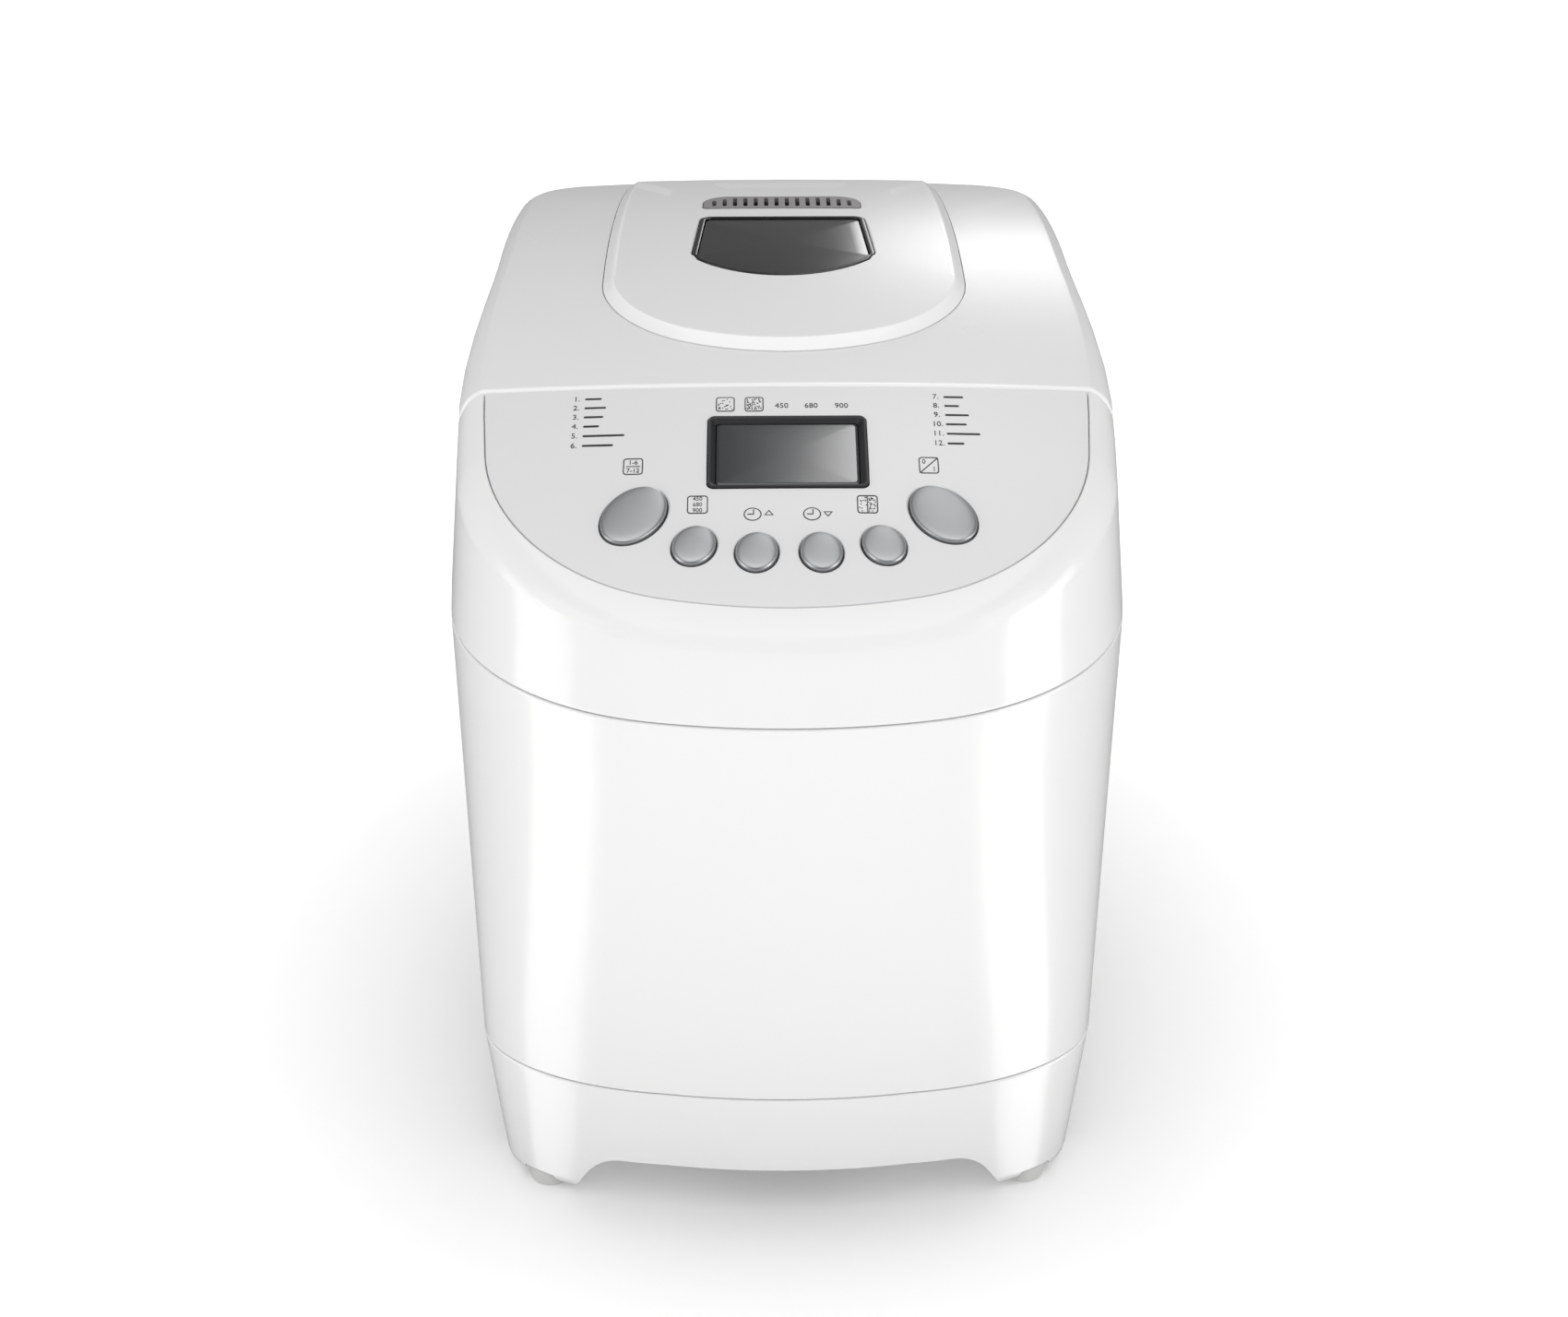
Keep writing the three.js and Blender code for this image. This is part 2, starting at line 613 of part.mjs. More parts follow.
const HINGE_Y = REAR - KNUCKLE_RADIUS - 0.2;
const HINGE_Z = topHeight(0, REAR - BEZEL_INSET) - BEZEL_DROP;

// Knuckle of the hinge between two distances from the hinge's middle.
function knuckles(from, to, radius) {
  return [-HINGE_X, HINGE_X].map((x) => crossRod(x + from, x + to, HINGE_Y, HINGE_Z, radius));
}

const OUTER_KNUCKLE_START = LID_KNUCKLE_HALF + FIT_GAP * 2;
const outerKnuckles = (radius, gap) => [
  ...knuckles(-HINGE_HALF - gap, -OUTER_KNUCKLE_START + gap, radius),
  ...knuckles(OUTER_KNUCKLE_START - gap, HINGE_HALF + gap, radius),
];
const outerKnuckleMiddles = () => [-1, 1].flatMap((side) => [-1, 1].map((end) => [
  side * HINGE_X + end * (OUTER_KNUCKLE_START + HINGE_HALF) / 2, (HINGE_HALF - OUTER_KNUCKLE_START) / 2]));
const pinHoles = () => knuckles(-HINGE_HALF - 2, HINGE_HALF + 2, HINGE_PIN_RADIUS + FIT_GAP);

[-HINGE_X, HINGE_X].forEach((x, index) => {
  const pin = crossRod(x - HINGE_HALF - 1, x + HINGE_HALF + 1, HINGE_Y, HINGE_Z, HINGE_PIN_RADIUS, 12);
  add(`hinge_pin_${index === 0 ? 'left' : 'right'}`, pin, STEEL);
});

// ---------------------------------------------------------------- upper housing and control panel

const DISPLAY_Y = FRONT + DISPLAY_FROM_FRONT;
const FOCUS_Y = FRONT + BUTTON_FOCUS_FROM_FRONT;

// The direction that an oval button's long axis takes, from straight back towards +X.
const buttonTurn = (x, y) => Math.atan2(-x, FOCUS_Y - y);

// Oval cutter or cap: a circle of radius 1 stretched to the button's half sizes.
function oval(x, y, profile, halfLength, halfWidth, sides) {
  const round = turned(0, 0, profile, sides);
  return round.scale([halfWidth, halfLength, 1]).rotate([0, 0, -buttonTurn(x, y) / DEG]);
}

function buttonHole([, x, fromFront, halfLength, halfWidth]) {
  const y = FRONT + fromFront;
  const profile = [[0, -20], [1, -20], [1, 10], [0, 10]];
  return onTop(oval(x, y, profile, halfLength + BUTTON_GAP, halfWidth + BUTTON_GAP, 18), x, y);
}

function buttonCap([, x, fromFront, halfLength, halfWidth]) {
  const y = FRONT + fromFront;
  const stem = -FASCIA_THICKNESS - FASCIA_BED - 0.8;
  const flange = 1 + 1.6 / halfWidth;
  const profile = [
    [0, stem - 1.2], [flange, stem - 1.2], [flange, stem], [1, stem], [1, BUTTON_PROUD - 1.2],
    [0.86, BUTTON_PROUD - 0.3], [0, BUTTON_PROUD],
  ];
  return onTop(oval(x, y, profile, halfLength, halfWidth, 18), x, y);
}

function displayHole(margin) {
  const hole = roundedSlab(0, DISPLAY_WIDTH / 2 + margin, DISPLAY_LENGTH / 2 + margin, 2, -20, 10);
  return onTop(hole, 0, DISPLAY_Y);
}

// Where the housing's shelf, the deck and the lid's skirt are measured from: never below the deck.
const LOWEST_EDGE = DECK + 5;
const SEAM_HALF = LID_SEAM_GAP / 2;

// The space that the closed lid takes, with its seam gap all round.
function lidSpace() {
  const inset = LID_SKIRT_INSET - SEAM_GAP;
  const lift = -SEAM_GAP / 2;
  const space = loft([
    flatLoop(insetLoop(inset), DECK + lift),
    shelfLoop(inset, lift, LOWEST_EDGE),
    shelfLoop(-6, lift, LOWEST_EDGE),
    flatLoop(insetLoop(-6), FAR),
  ]);
  return space.intersect(behind(SEAM_Y - SEAM_HALF));
}

// The hollow inside the housing: under the control panel, under the deck, and inside the rim.
function housingHollow() {
  const under = DECK - SEAM_GAP / 2 - 2;
  const rimInset = LID_SKIRT_INSET - SEAM_GAP - SHELF_THICKNESS;
  const shelf = -SEAM_GAP / 2 - SHELF_THICKNESS;
  const front = topEnvelope(WALL, FASCIA_THICKNESS + FIT_GAP + FASCIA_BED);
  const rear = loft([
    flatLoop(insetLoop(WALL, 0), UPPER_SEAM - 5),
    edgeLoop(WALL, shelf, LOWEST_EDGE),
    shelfLoop(rimInset, shelf, LOWEST_EDGE),
    flatLoop(insetLoop(rimInset), under),
  ]);
  const crossWallFront = SEAM_Y - SEAM_HALF - WALL;
  return join(
    front.intersect(infront(crossWallFront)),
    rear.intersect(behind(SEAM_Y - SEAM_HALF)),
    front.intersect(behind(crossWallFront - 10)).intersect(below(under)).intersect(infront(SEAM_Y + 10)),
  );
}

function upperHousing() {
  const recess = crownedPlate(insetLoop(FASCIA_INSET - FIT_GAP), -FASCIA_THICKNESS - FIT_GAP, 8);
  const well = roundedSlab(PAN_Y, CHAMBER_HALF_X + SHEET + 0.5, CHAMBER_HALF_Y + SHEET + 0.5, CHAMBER_RADIUS + SHEET,
    DECK - 20, DECK + 20);
  const webs = outerKnuckleMiddles().map(([x, half]) => block(
    [x - half, HINGE_Y - 4, HINGE_Z - 9], [x + half, HINGE_Y + 1, HINGE_Z - 1]));
  const lidKnuckleSpace = knuckles(-LID_KNUCKLE_HALF - FIT_GAP * 2, LID_KNUCKLE_HALF + FIT_GAP * 2, KNUCKLE_RADIUS + 0.5);
  const shell = cut(topEnvelope(0, 0), lidSpace(), housingHollow(), recess.intersect(infront(SEAM_Y)));
  const hinged = cut(join(shell, ...outerKnuckles(KNUCKLE_RADIUS, 0), ...webs), ...lidKnuckleSpace, ...pinHoles());
  return cut(hinged, well, displayHole(FIT_GAP), ...BUTTONS.map(buttonHole));
}

function controlPanel() {
  const plate = crownedPlate(insetLoop(FASCIA_INSET), -FASCIA_THICKNESS, 0).intersect(infront(SEAM_Y - LID_SEAM_GAP / 2));
  return cut(plate, displayHole(FIT_GAP), ...BUTTONS.map(buttonHole));
}

add('upper_housing', upperHousing(), WHITE);
add('control_panel', controlPanel(), PANEL_WHITE);
BUTTONS.forEach((button) => add(button[0], buttonCap(button), BUTTON_SILVER));

// Display: a black frame in the panel, a lens in the frame and the module on the board behind.
const displayGroup = tiltedGroup(0, DISPLAY_Y);
const halfDisplayX = DISPLAY_WIDTH / 2;
const halfDisplayY = DISPLAY_LENGTH / 2;
const displayInner = (gap) => [0, halfDisplayX - DISPLAY_RIM - gap, halfDisplayY - DISPLAY_RIM - gap, 1.2];
add('display_frame', cut(roundedSlab(0, halfDisplayX, halfDisplayY, 1.8, -5.4, 0.4),
  roundedSlab(...displayInner(0), -6, 1)), BLACK_PLASTIC, displayGroup);
add('display_lens', roundedSlab(...displayInner(FIT_GAP), -2.4, -0.9), SMOKED_GLASS, displayGroup);
add('display_module', block([-halfDisplayX + 1, -halfDisplayY + 1, -11.4], [halfDisplayX - 1, halfDisplayY - 1, -5.7]),
  BLACK_PLASTIC, displayGroup);

const BOARD_HALF_X = 68;
const BOARD_HALF_Y = 33;
const boardGroup = tiltedGroup(0, FRONT + 62);
add('control_board', roundedSlab(0, BOARD_HALF_X, BOARD_HALF_Y, 3, -16, -14.4), BOARD_GREEN, boardGroup);

// ---------------------------------------------------------------- lid

// Raised panel's outline: a wide front arc, round shoulders and sides that close in to the rear.
function shieldLoop(inset) {
  const shoulder = (SHIELD_HALF - SHIELD_FRONT_RADIUS * Math.sin(SHIELD_FRONT_END)) / (1 - Math.sin(SHIELD_FRONT_END));
  const half = [];
  const step = 11 * DEG;
  for (let facing = 0; facing <= SHIELD_FRONT_END + 0.001; facing += step) {
    half.push([SHIELD_FRONT_RADIUS * Math.sin(facing), SHIELD_FRONT_Y + SHIELD_FRONT_RADIUS * (1 - Math.cos(facing)), facing]);
  }
  const [cornerX, cornerY] = half[half.length - 1];
  for (let k = 1; k <= 6; k += 1) {
    const facing = SHIELD_FRONT_END + (90 * DEG - SHIELD_FRONT_END) * k / 6;
    half.push([cornerX + shoulder * (Math.sin(facing) - Math.sin(SHIELD_FRONT_END)),
      cornerY + shoulder * (Math.cos(SHIELD_FRONT_END) - Math.cos(facing)), facing]);
  }
  half.push([(SHIELD_HALF + SHIELD_REAR_HALF) / 2 + 0.8, (cornerY + SHIELD_REAR_Y) / 2 + 15, 91.5 * DEG]);
  half.push([SHIELD_REAR_HALF, SHIELD_REAR_Y - 6, 95 * DEG]);
  half.push([SHIELD_REAR_HALF - 6, SHIELD_REAR_Y, 175 * DEG]);
  half.push([0, SHIELD_REAR_Y, 180 * DEG]);
  const inwards = ([x, y, facing]) => [x - inset * Math.sin(facing), y + inset * Math.cos(facing)];
  const mirrored = half.slice(1, -1).reverse().map(([x, y, facing]) => [-x, y, -facing]);
  return [...half, ...mirrored].map(inwards);
}

// Window outline: straight top and sides, and an arc along the bottom.
function windowShape(inset) {
  const arcRadius = (WINDOW_BOTTOM_HALF ** 2 + WINDOW_ARC_DEPTH ** 2) / (2 * WINDOW_ARC_DEPTH);
  const arcCentreY = WINDOW_CORNER_Y - WINDOW_ARC_DEPTH + arcRadius;
  const arcHalf = Math.asin(WINDOW_BOTTOM_HALF / arcRadius);
  const topY = WINDOW_TOP_Y - inset;
  const corner = 4 - inset * 0.5;
  const shape = new THREE.Shape();
  shape.absarc(-WINDOW_TOP_HALF + inset + corner, topY - corner, corner, 90 * DEG, 180 * DEG);
  shape.absarc(-WINDOW_BOTTOM_HALF + inset + corner, WINDOW_CORNER_Y + corner - 1, corner, 180 * DEG, 225 * DEG);
  shape.absarc(0, arcCentreY, arcRadius - inset, 270 * DEG - arcHalf + 6 * DEG, 270 * DEG + arcHalf - 6 * DEG);
  shape.absarc(WINDOW_BOTTOM_HALF - inset - corner, WINDOW_CORNER_Y + corner - 1, corner, 315 * DEG, 360 * DEG);
  shape.absarc(WINDOW_TOP_HALF - inset - corner, topY - corner, corner, 0, 90 * DEG);
  return shape;
}

const windowCutter = (inset) => slab(windowShape(inset), DECK, CREST_HEIGHT + 20, 5);

// Vent outline: a flat front edge with small corners and a rear edge with large ones.
function ventShape(inset) {
  const x = VENT_HALF - inset;
  const y = VENT_DEPTH / 2 - inset;
  const large = 10 - inset;
  const small = 2;
  const shape = new THREE.Shape();
  shape.absarc(x - large, y - large, large, 0, 90 * DEG);
  shape.absarc(-x + large, y - large, large, 90 * DEG, 180 * DEG);
  shape.absarc(-x + small, -y + small, small, 180 * DEG, 270 * DEG);
  shape.absarc(x - small, -y + small, small, 270 * DEG, 360 * DEG);
  return shape;
}

function ventGrille() {
  const plate = slab(ventShape(0), -1.6, 0.2, 4);
  const pitch = (VENT_HALF * 2 - 8) / (VENT_SLOTS - 1);
  const slots = [];
  for (let i = 0; i < VENT_SLOTS; i += 1) {
    const x = (i - (VENT_SLOTS - 1) / 2) * pitch;
    const rearEnd = VENT_DEPTH / 2 - 2.5 - Math.max(0, Math.abs(x) - VENT_HALF + 12) * 0.6;
    slots.push(block([x - VENT_SLOT_WIDTH / 2, -VENT_DEPTH / 2 + 2.5, -3], [x + VENT_SLOT_WIDTH / 2, rearEnd, 2]));
  }
  return cut(plate, ...slots);
}

const SKIRT_BOTTOM = DECK + 2.2 + LINER_THICKNESS + FIT_GAP;

function lidCover() {
  const rim = insetLoop(BEZEL_INSET);
  const cap = loft([
    flatLoop(insetLoop(LID_SKIRT_INSET), SKIRT_BOTTOM),
    shelfLoop(LID_SKIRT_INSET, SEAM_GAP / 2, LOWEST_EDGE),
    edgeLoop(0, SEAM_GAP / 2, LOWEST_EDGE),
    crownLoop(rim, 0),
    ...crownRings(rim, 0),
  ]);
  const pocketLoop = insetLoop(LID_SKIRT_INSET + WALL);
  const pocket = loft([
    flatLoop(pocketLoop, SKIRT_BOTTOM - 5),
    crownLoop(pocketLoop, -WALL),
    ...crownRings(pocketLoop, -WALL),
  ]);
  const shell = cut(cap.intersect(behind(SEAM_Y + SEAM_HALF)), pocket.intersect(behind(SEAM_Y + SEAM_HALF + WALL)));
  const lugs = knuckles(-LID_KNUCKLE_HALF, LID_KNUCKLE_HALF, KNUCKLE_RADIUS);
  const housingKnuckleSpace = outerKnuckles(KNUCKLE_RADIUS + 0.5, FIT_GAP * 2);
  const steamHole = block([-VENT_HALF + 4, VENT_Y - 7, DECK + 15], [VENT_HALF - 4, VENT_Y + 7, CREST_HEIGHT + 20]);
  const seat = centrePanelPlate(-FIT_GAP, -SHIELD_SEAT - FIT_GAP, 20);
  return cut(join(shell, ...lugs), ...housingKnuckleSpace, ...pinHoles(), seat, windowCutter(1), steamHole);
}

// Raised plate over the shield's outline, with a sloping band round its top.
function centrePanelPlate(inset, under, rise) {
  const rim = shieldLoop(inset);
  const crown = shieldLoop(inset + SHIELD_BAND);
  const centreY = (SHIELD_FRONT_Y + SHIELD_REAR_Y) / 2;
  const factors = [0.2, 0.45, 0.7, 0.88];
  return loft([
    ...factors.map((factor) => crownLoop(shrink(rim, factor, centreY), under)),
    crownLoop(rim, under),
    crownLoop(rim, rise > SHIELD_RISE ? rise : 0.3),
    crownLoop(crown, rise),
    ...[...factors].reverse().map((factor) => crownLoop(shrink(crown, factor, centreY), rise)),
  ]);
}

function lidCentrePanel() {
  const plate = centrePanelPlate(0, -SHIELD_SEAT, SHIELD_RISE);
  const ventHole = slab(ventShape(-FIT_GAP), -8, 6, 4);
  return cut(plate, windowCutter(-FIT_GAP), onTop(ventHole, 0, VENT_Y, SHIELD_RISE));
}

const windowTop = CREST_HEIGHT + SHIELD_RISE;

function windowTrim() {
  return cut(slab(windowShape(0), windowTop - 2.2, windowTop - 0.1, 5), windowCutter(WINDOW_RIM));
}

const LINER_BOTTOM = DECK + 2.2;
const LINER_DOME_INSET = 28;

function lidLiner() {
  const front = SEAM_Y + 16;
  const rear = REAR - LINER_DOME_INSET - 6;
  const dome = (inset, bottom, top) => roundedSlab((front + rear) / 2, WIDTH / 2 - LINER_DOME_INSET - inset,
    (rear - front) / 2 - inset, 24 - inset, bottom, top);
  const plate = slab(shapeOf(insetLoop(LID_SKIRT_INSET + FIT_GAP)), LINER_BOTTOM, LINER_BOTTOM + LINER_THICKNESS);
  const flange = plate.intersect(behind(SEAM_Y + SEAM_HALF + FIT_GAP));
  const body = join(flange, dome(0, LINER_BOTTOM, CEILING + LINER_THICKNESS));
  const steamHoles = [-20, -10, 0, 10, 20].map((x) => rod(x, VENT_Y, 2.5, DECK, CREST_HEIGHT, 8));
  const sight = roundedSlab(WINDOW_CORNER_Y + 12, 30, 28, 6, CEILING - 1, CEILING + 6);
  return cut(body, dome(LINER_THICKNESS, LINER_BOTTOM - 1, CEILING), ...steamHoles, sight);
}

add('lid_cover', lidCover(), PANEL_WHITE);
add('lid_centre_panel', lidCentrePanel(), PANEL_WHITE);
add('window_trim', windowTrim(), TRIM_STEEL);
add('window_glass', slab(windowShape(WINDOW_RIM + FIT_GAP), windowTop - 2.2, windowTop - 0.7, 5), SMOKED_GLASS);
const ventGroup = tiltedGroup(0, VENT_Y, SHIELD_RISE);
add('vent_grille', ventGrille(), VENT_GREY, ventGroup);
add('lid_liner', lidLiner(), ALUMINIUM);
add('inner_window', roundedSlab(WINDOW_CORNER_Y + 12, 33, 31, 6, CEILING + LINER_THICKNESS + FIT_GAP,
  CEILING + LINER_THICKNESS + FIT_GAP + 3), SMOKED_GLASS);

// ---------------------------------------------------------------- oven chamber

const SENSOR_X = 40;
const SENSOR_Z = CHAMBER_FLOOR + 50;
const TERMINAL_X = 14;

function ovenChamber() {
  const outside = roundedSlab(PAN_Y, CHAMBER_HALF_X + SHEET, CHAMBER_HALF_Y + SHEET, CHAMBER_RADIUS + SHEET,
    CHAMBER_FLOOR - SHEET, DECK + FIT_GAP + SHEET);
  const flange = roundedSlab(PAN_Y, CHAMBER_HALF_X + SHEET + CHAMBER_FLANGE, CHAMBER_HALF_Y + SHEET + CHAMBER_FLANGE,
    CHAMBER_RADIUS + CHAMBER_FLANGE, DECK + FIT_GAP, DECK + FIT_GAP + SHEET);
  const inside = roundedSlab(PAN_Y, CHAMBER_HALF_X, CHAMBER_HALF_Y, CHAMBER_RADIUS, CHAMBER_FLOOR, DECK + 10);
  const shaftHole = rod(0, PAN_Y, BEARING_RADIUS + 0.5, 0, CHAMBER_FLOOR + 5);
  const terminalHoles = [-TERMINAL_X, TERMINAL_X].map((x) => (
    lengthRod(x, ELEMENT_HEIGHT, ELEMENT_RADIUS + 1, CHAMBER_FRONT - 5, CHAMBER_FRONT + 3, 12)));
  const sensorHole = lengthRod(SENSOR_X, SENSOR_Z, 3.4, CHAMBER_FRONT - 5, CHAMBER_FRONT + 3, 12);
  return cut(join(outside, flange), inside, shaftHole, ...terminalHoles, sensorHole);
}

// Heating tube: once round the chamber's lower wall, with both ends out through the front wall.
function heatingElement() {
  const halfX = CHAMBER_HALF_X - ELEMENT_WALL_GAP;
  const halfY = CHAMBER_HALF_Y - ELEMENT_WALL_GAP;
  const loop = roundedLoop(PAN_Y, halfX, halfY, CHAMBER_RADIUS - 5, 3);
  const frontRight = loop.slice(-4);
  const frontLeft = loop.slice(8, 12);
  const others = loop.slice(0, 8);
  const lead = (x) => [[x, CHAMBER_FRONT - 10], [x, CHAMBER_FRONT]];
  const bend = (x) => [[x * 1.25, CHAMBER_FRONT + ELEMENT_WALL_GAP - 1.5]];
  const route = [
    ...lead(TERMINAL_X), ...bend(TERMINAL_X), ...frontRight, ...others, ...frontLeft,
    ...bend(-TERMINAL_X), ...lead(-TERMINAL_X).reverse(),
  ];
  return wire(withMiddles(route.map(([x, y]) => [x, y, ELEMENT_HEIGHT]), 22), ELEMENT_RADIUS, 66);
}

function elementClip(side) {
  const x = side * (CHAMBER_HALF_X - ELEMENT_WALL_GAP);
  const near = ELEMENT_RADIUS + 0.5;
  const plate = block([x - 5.5, PAN_Y - 4, CHAMBER_FLOOR + FIT_GAP], [x + 5.5, PAN_Y + 4, ELEMENT_HEIGHT + 5]);
  const slot = block([x - near, PAN_Y - 5, ELEMENT_HEIGHT - near], [x + near, PAN_Y + 5, ELEMENT_HEIGHT + 9]);
  const waist = block([x - side * 4.2 - 2.8, PAN_Y - 5, CHAMBER_FLOOR + 3], [x - side * 4.2 + 2.8, PAN_Y + 5, ELEMENT_HEIGHT - 6]);
  return cut(plate, slot, waist);
}

add('oven_chamber', ovenChamber(), STEEL);
add('heating_element', heatingElement(), ELEMENT_STEEL);
add('element_clip_left', elementClip(-1), STEEL);
add('element_clip_right', elementClip(1), STEEL);
add('temperature_sensor', join(lengthRod(SENSOR_X, SENSOR_Z, 3, CHAMBER_FRONT - 8, CHAMBER_FRONT + 5, 12),
  lengthRod(SENSOR_X, SENSOR_Z, 6, CHAMBER_FRONT - 5, CHAMBER_FRONT - SHEET - FIT_GAP, 12)), STEEL);
add('thermal_fuse', lengthRod(-SENSOR_X, SENSOR_Z, 5, CHAMBER_FRONT - SHEET - FIT_GAP - 4,
  CHAMBER_FRONT - SHEET - FIT_GAP, 16), BUSH_WHITE);

// ---------------------------------------------------------------- bread pan

const EAR_X = PAN_HALF_X + PAN_RIM;

function breadPan() {
  const radiusBottom = PAN_RADIUS - PAN_TAPER;
  const at = (inset, z, radius) => flatLoop(roundedLoop(PAN_Y, PAN_HALF_X - inset, PAN_HALF_Y - inset, radius), z);
  const body = loft([
    at(PAN_TAPER + 3, PAN_BOTTOM, radiusBottom - 3),
    at(PAN_TAPER, PAN_BOTTOM + 3, radiusBottom),
    at(0, PAN_TOP - 1.6, PAN_RADIUS),
    at(-PAN_RIM, PAN_TOP - 1.6, PAN_RADIUS + PAN_RIM),
    at(-PAN_RIM, PAN_TOP, PAN_RADIUS + PAN_RIM),
    at(PAN_WALL, PAN_TOP, PAN_RADIUS - PAN_WALL),
    at(PAN_TAPER + PAN_WALL, PAN_BOTTOM + PAN_FLOOR + 2.5, radiusBottom - PAN_WALL),
    at(PAN_TAPER + PAN_WALL + 3, PAN_BOTTOM + PAN_FLOOR, radiusBottom - PAN_WALL - 3),
  ]);
  const ears = [-1, 1].map((side) => {
    const inner = side * (EAR_X - 0.6);
    const outer = side * (EAR_X + EAR_THICKNESS);
    return block([Math.min(inner, outer), PAN_Y - EAR_HALF, PIVOT_Z - 6], [Math.max(inner, outer), PAN_Y + EAR_HALF, PAN_TOP]);
  });
  const pivots = crossRod(-EAR_X - 6, EAR_X + 6, PAN_Y, PIVOT_Z, HANDLE_WIRE_RADIUS + FIT_GAP, 16)
    .subtract(block([-PAN_HALF_X - 1, -FAR, 0], [PAN_HALF_X + 1, FAR, FAR]));
  const bushHole = rod(0, PAN_Y, 6 + FIT_GAP, PAN_BOTTOM - 5, PAN_BOTTOM + 5);
  return cut(join(body, ...ears), pivots, bushHole);
}

// Handle: a wire bail whose ends turn in through the pan's ears. At rest it lies on the rim.
const ARM_X = EAR_X + EAR_THICKNESS + HANDLE_WIRE_RADIUS + 0.8;
const REST_ANGLE = Math.asin((PAN_TOP + HANDLE_WIRE_RADIUS + FIT_GAP - PIVOT_Z) / (HANDLE_REACH - 5.5));

function panHandle() {
  const half = [
    [PAN_HALF_X + 1.6, 0], [ARM_X - 3.5, 0], [ARM_X - 1, 1], [ARM_X, 3.5], [ARM_X, HANDLE_REACH / 2],
    [ARM_X, HANDLE_REACH - 14], [ARM_X - 3.5, HANDLE_REACH - 4.5], [ARM_X - 13, HANDLE_REACH],
    [ARM_X / 2, HANDLE_REACH],
  ];
  const mirrored = [...half].reverse().map(([x, out]) => [-x, out]);
  const route = [...half, ...mirrored].map(([x, out]) => [
    x, PAN_Y + out * Math.cos(REST_ANGLE), PIVOT_Z + out * Math.sin(REST_ANGLE)]);
  return wire(route, HANDLE_WIRE_RADIUS, 54);
}

add('bread_pan', breadPan(), PAN_COATING);
add('pan_handle', panHandle(), STEEL);
add('pan_base', ring(0, PAN_Y, PAN_BASE_RADIUS - 3, PAN_BASE_RADIUS, CHAMBER_FLOOR + 0.8, PAN_BOTTOM - FIT_GAP, 40),
  ALUMINIUM);
[-1, 1].forEach((side) => {
  const x = side * (PAN_BASE_RADIUS + 3.5);
  const foot = block([x - (side < 0 ? 8 : 2), PAN_Y - 9, CHAMBER_FLOOR + FIT_GAP], [x + (side < 0 ? 2 : 8), PAN_Y + 9, CHAMBER_FLOOR + 1.5]);
  const blade = block([x - 1, PAN_Y - 9, CHAMBER_FLOOR + FIT_GAP], [x + 1, PAN_Y + 9, PAN_BOTTOM - 2]);
  const bump = block([x - (side < 0 ? 1 : 2.4), PAN_Y - 9, PAN_BOTTOM - 8], [x + (side < 0 ? 2.4 : 1), PAN_Y + 9, PAN_BOTTOM - 5]);
  add(`pan_clip_${side < 0 ? 'left' : 'right'}`, join(foot, blade, bump), STEEL);
});

// ---------------------------------------------------------------- paddle, spindle and couplings

const SPINDLE_TOP = PAN_BOTTOM + PAN_FLOOR + 21;
const BUSH_TOP = PAN_BOTTOM + PAN_FLOOR + 2;
const WING_BOTTOM = PAN_BOTTOM - 6.5;
const WING_TOP = PAN_BOTTOM - 2.5;

function spindleBush() {
  return turned(0, PAN_Y, [
    [SPINDLE_RADIUS + FIT_GAP, PAN_BOTTOM - 1.2], [6, PAN_BOTTOM - 1.2], [6, PAN_BOTTOM + PAN_FLOOR + FIT_GAP],
    [10, PAN_BOTTOM + PAN_FLOOR + FIT_GAP], [10, BUSH_TOP], [SPINDLE_RADIUS + FIT_GAP, BUSH_TOP],
    [SPINDLE_RADIUS + FIT_GAP, PAN_BOTTOM - 1.2],
  ]);
}

function kneadingPaddle() {
  const bottom = BUSH_TOP + FIT_GAP;
  const hub = turned(0, PAN_Y, [[0, bottom], [9, bottom], [7, SPINDLE_TOP + 5], [5, SPINDLE_TOP + 7], [0, SPINDLE_TOP + 7]]);
  const fin = new THREE.Shape();
  fin.moveTo(0, bottom);
  fin.lineTo(46, bottom);
  fin.quadraticCurveTo(54, bottom + 4, 53, bottom + 14);
  fin.quadraticCurveTo(50, bottom + 28, 36, bottom + 31);
  fin.quadraticCurveTo(18, bottom + 30, 0, bottom + 16);
  fin.closePath();
  const blade = new THREE.ExtrudeGeometry(fin, { depth: 4, bevelEnabled: false, curveSegments: 5 });
  blade.translate(0, 0, -2);
  blade.rotateX(Math.PI / 2);
  blade.translate(0, PAN_Y, 0);
  const bore = rod(0, PAN_Y, SPINDLE_RADIUS + FIT_GAP, bottom - 2, SPINDLE_TOP + 0.8);
  return cut(join(hub, solid(blade)), bore);
}

function wings(bottom, top, turn) {
  const bar = block([-COUPLING_RADIUS, -COUPLING_LUG / 2, bottom], [COUPLING_RADIUS, COUPLING_LUG / 2, top]);
  return bar.rotate([0, 0, turn]).translate([0, PAN_Y, 0]);
}

function panCoupling() {
  const hub = rod(0, PAN_Y, 6, WING_BOTTOM, WING_TOP);
  const bore = rod(0, PAN_Y, SPINDLE_RADIUS + FIT_GAP, WING_BOTTOM - 5, WING_TOP + 5);
  return cut(join(hub, wings(WING_BOTTOM, WING_TOP, 90)), bore);
}

const BEARING_TOP = CHAMBER_FLOOR + 1.5;

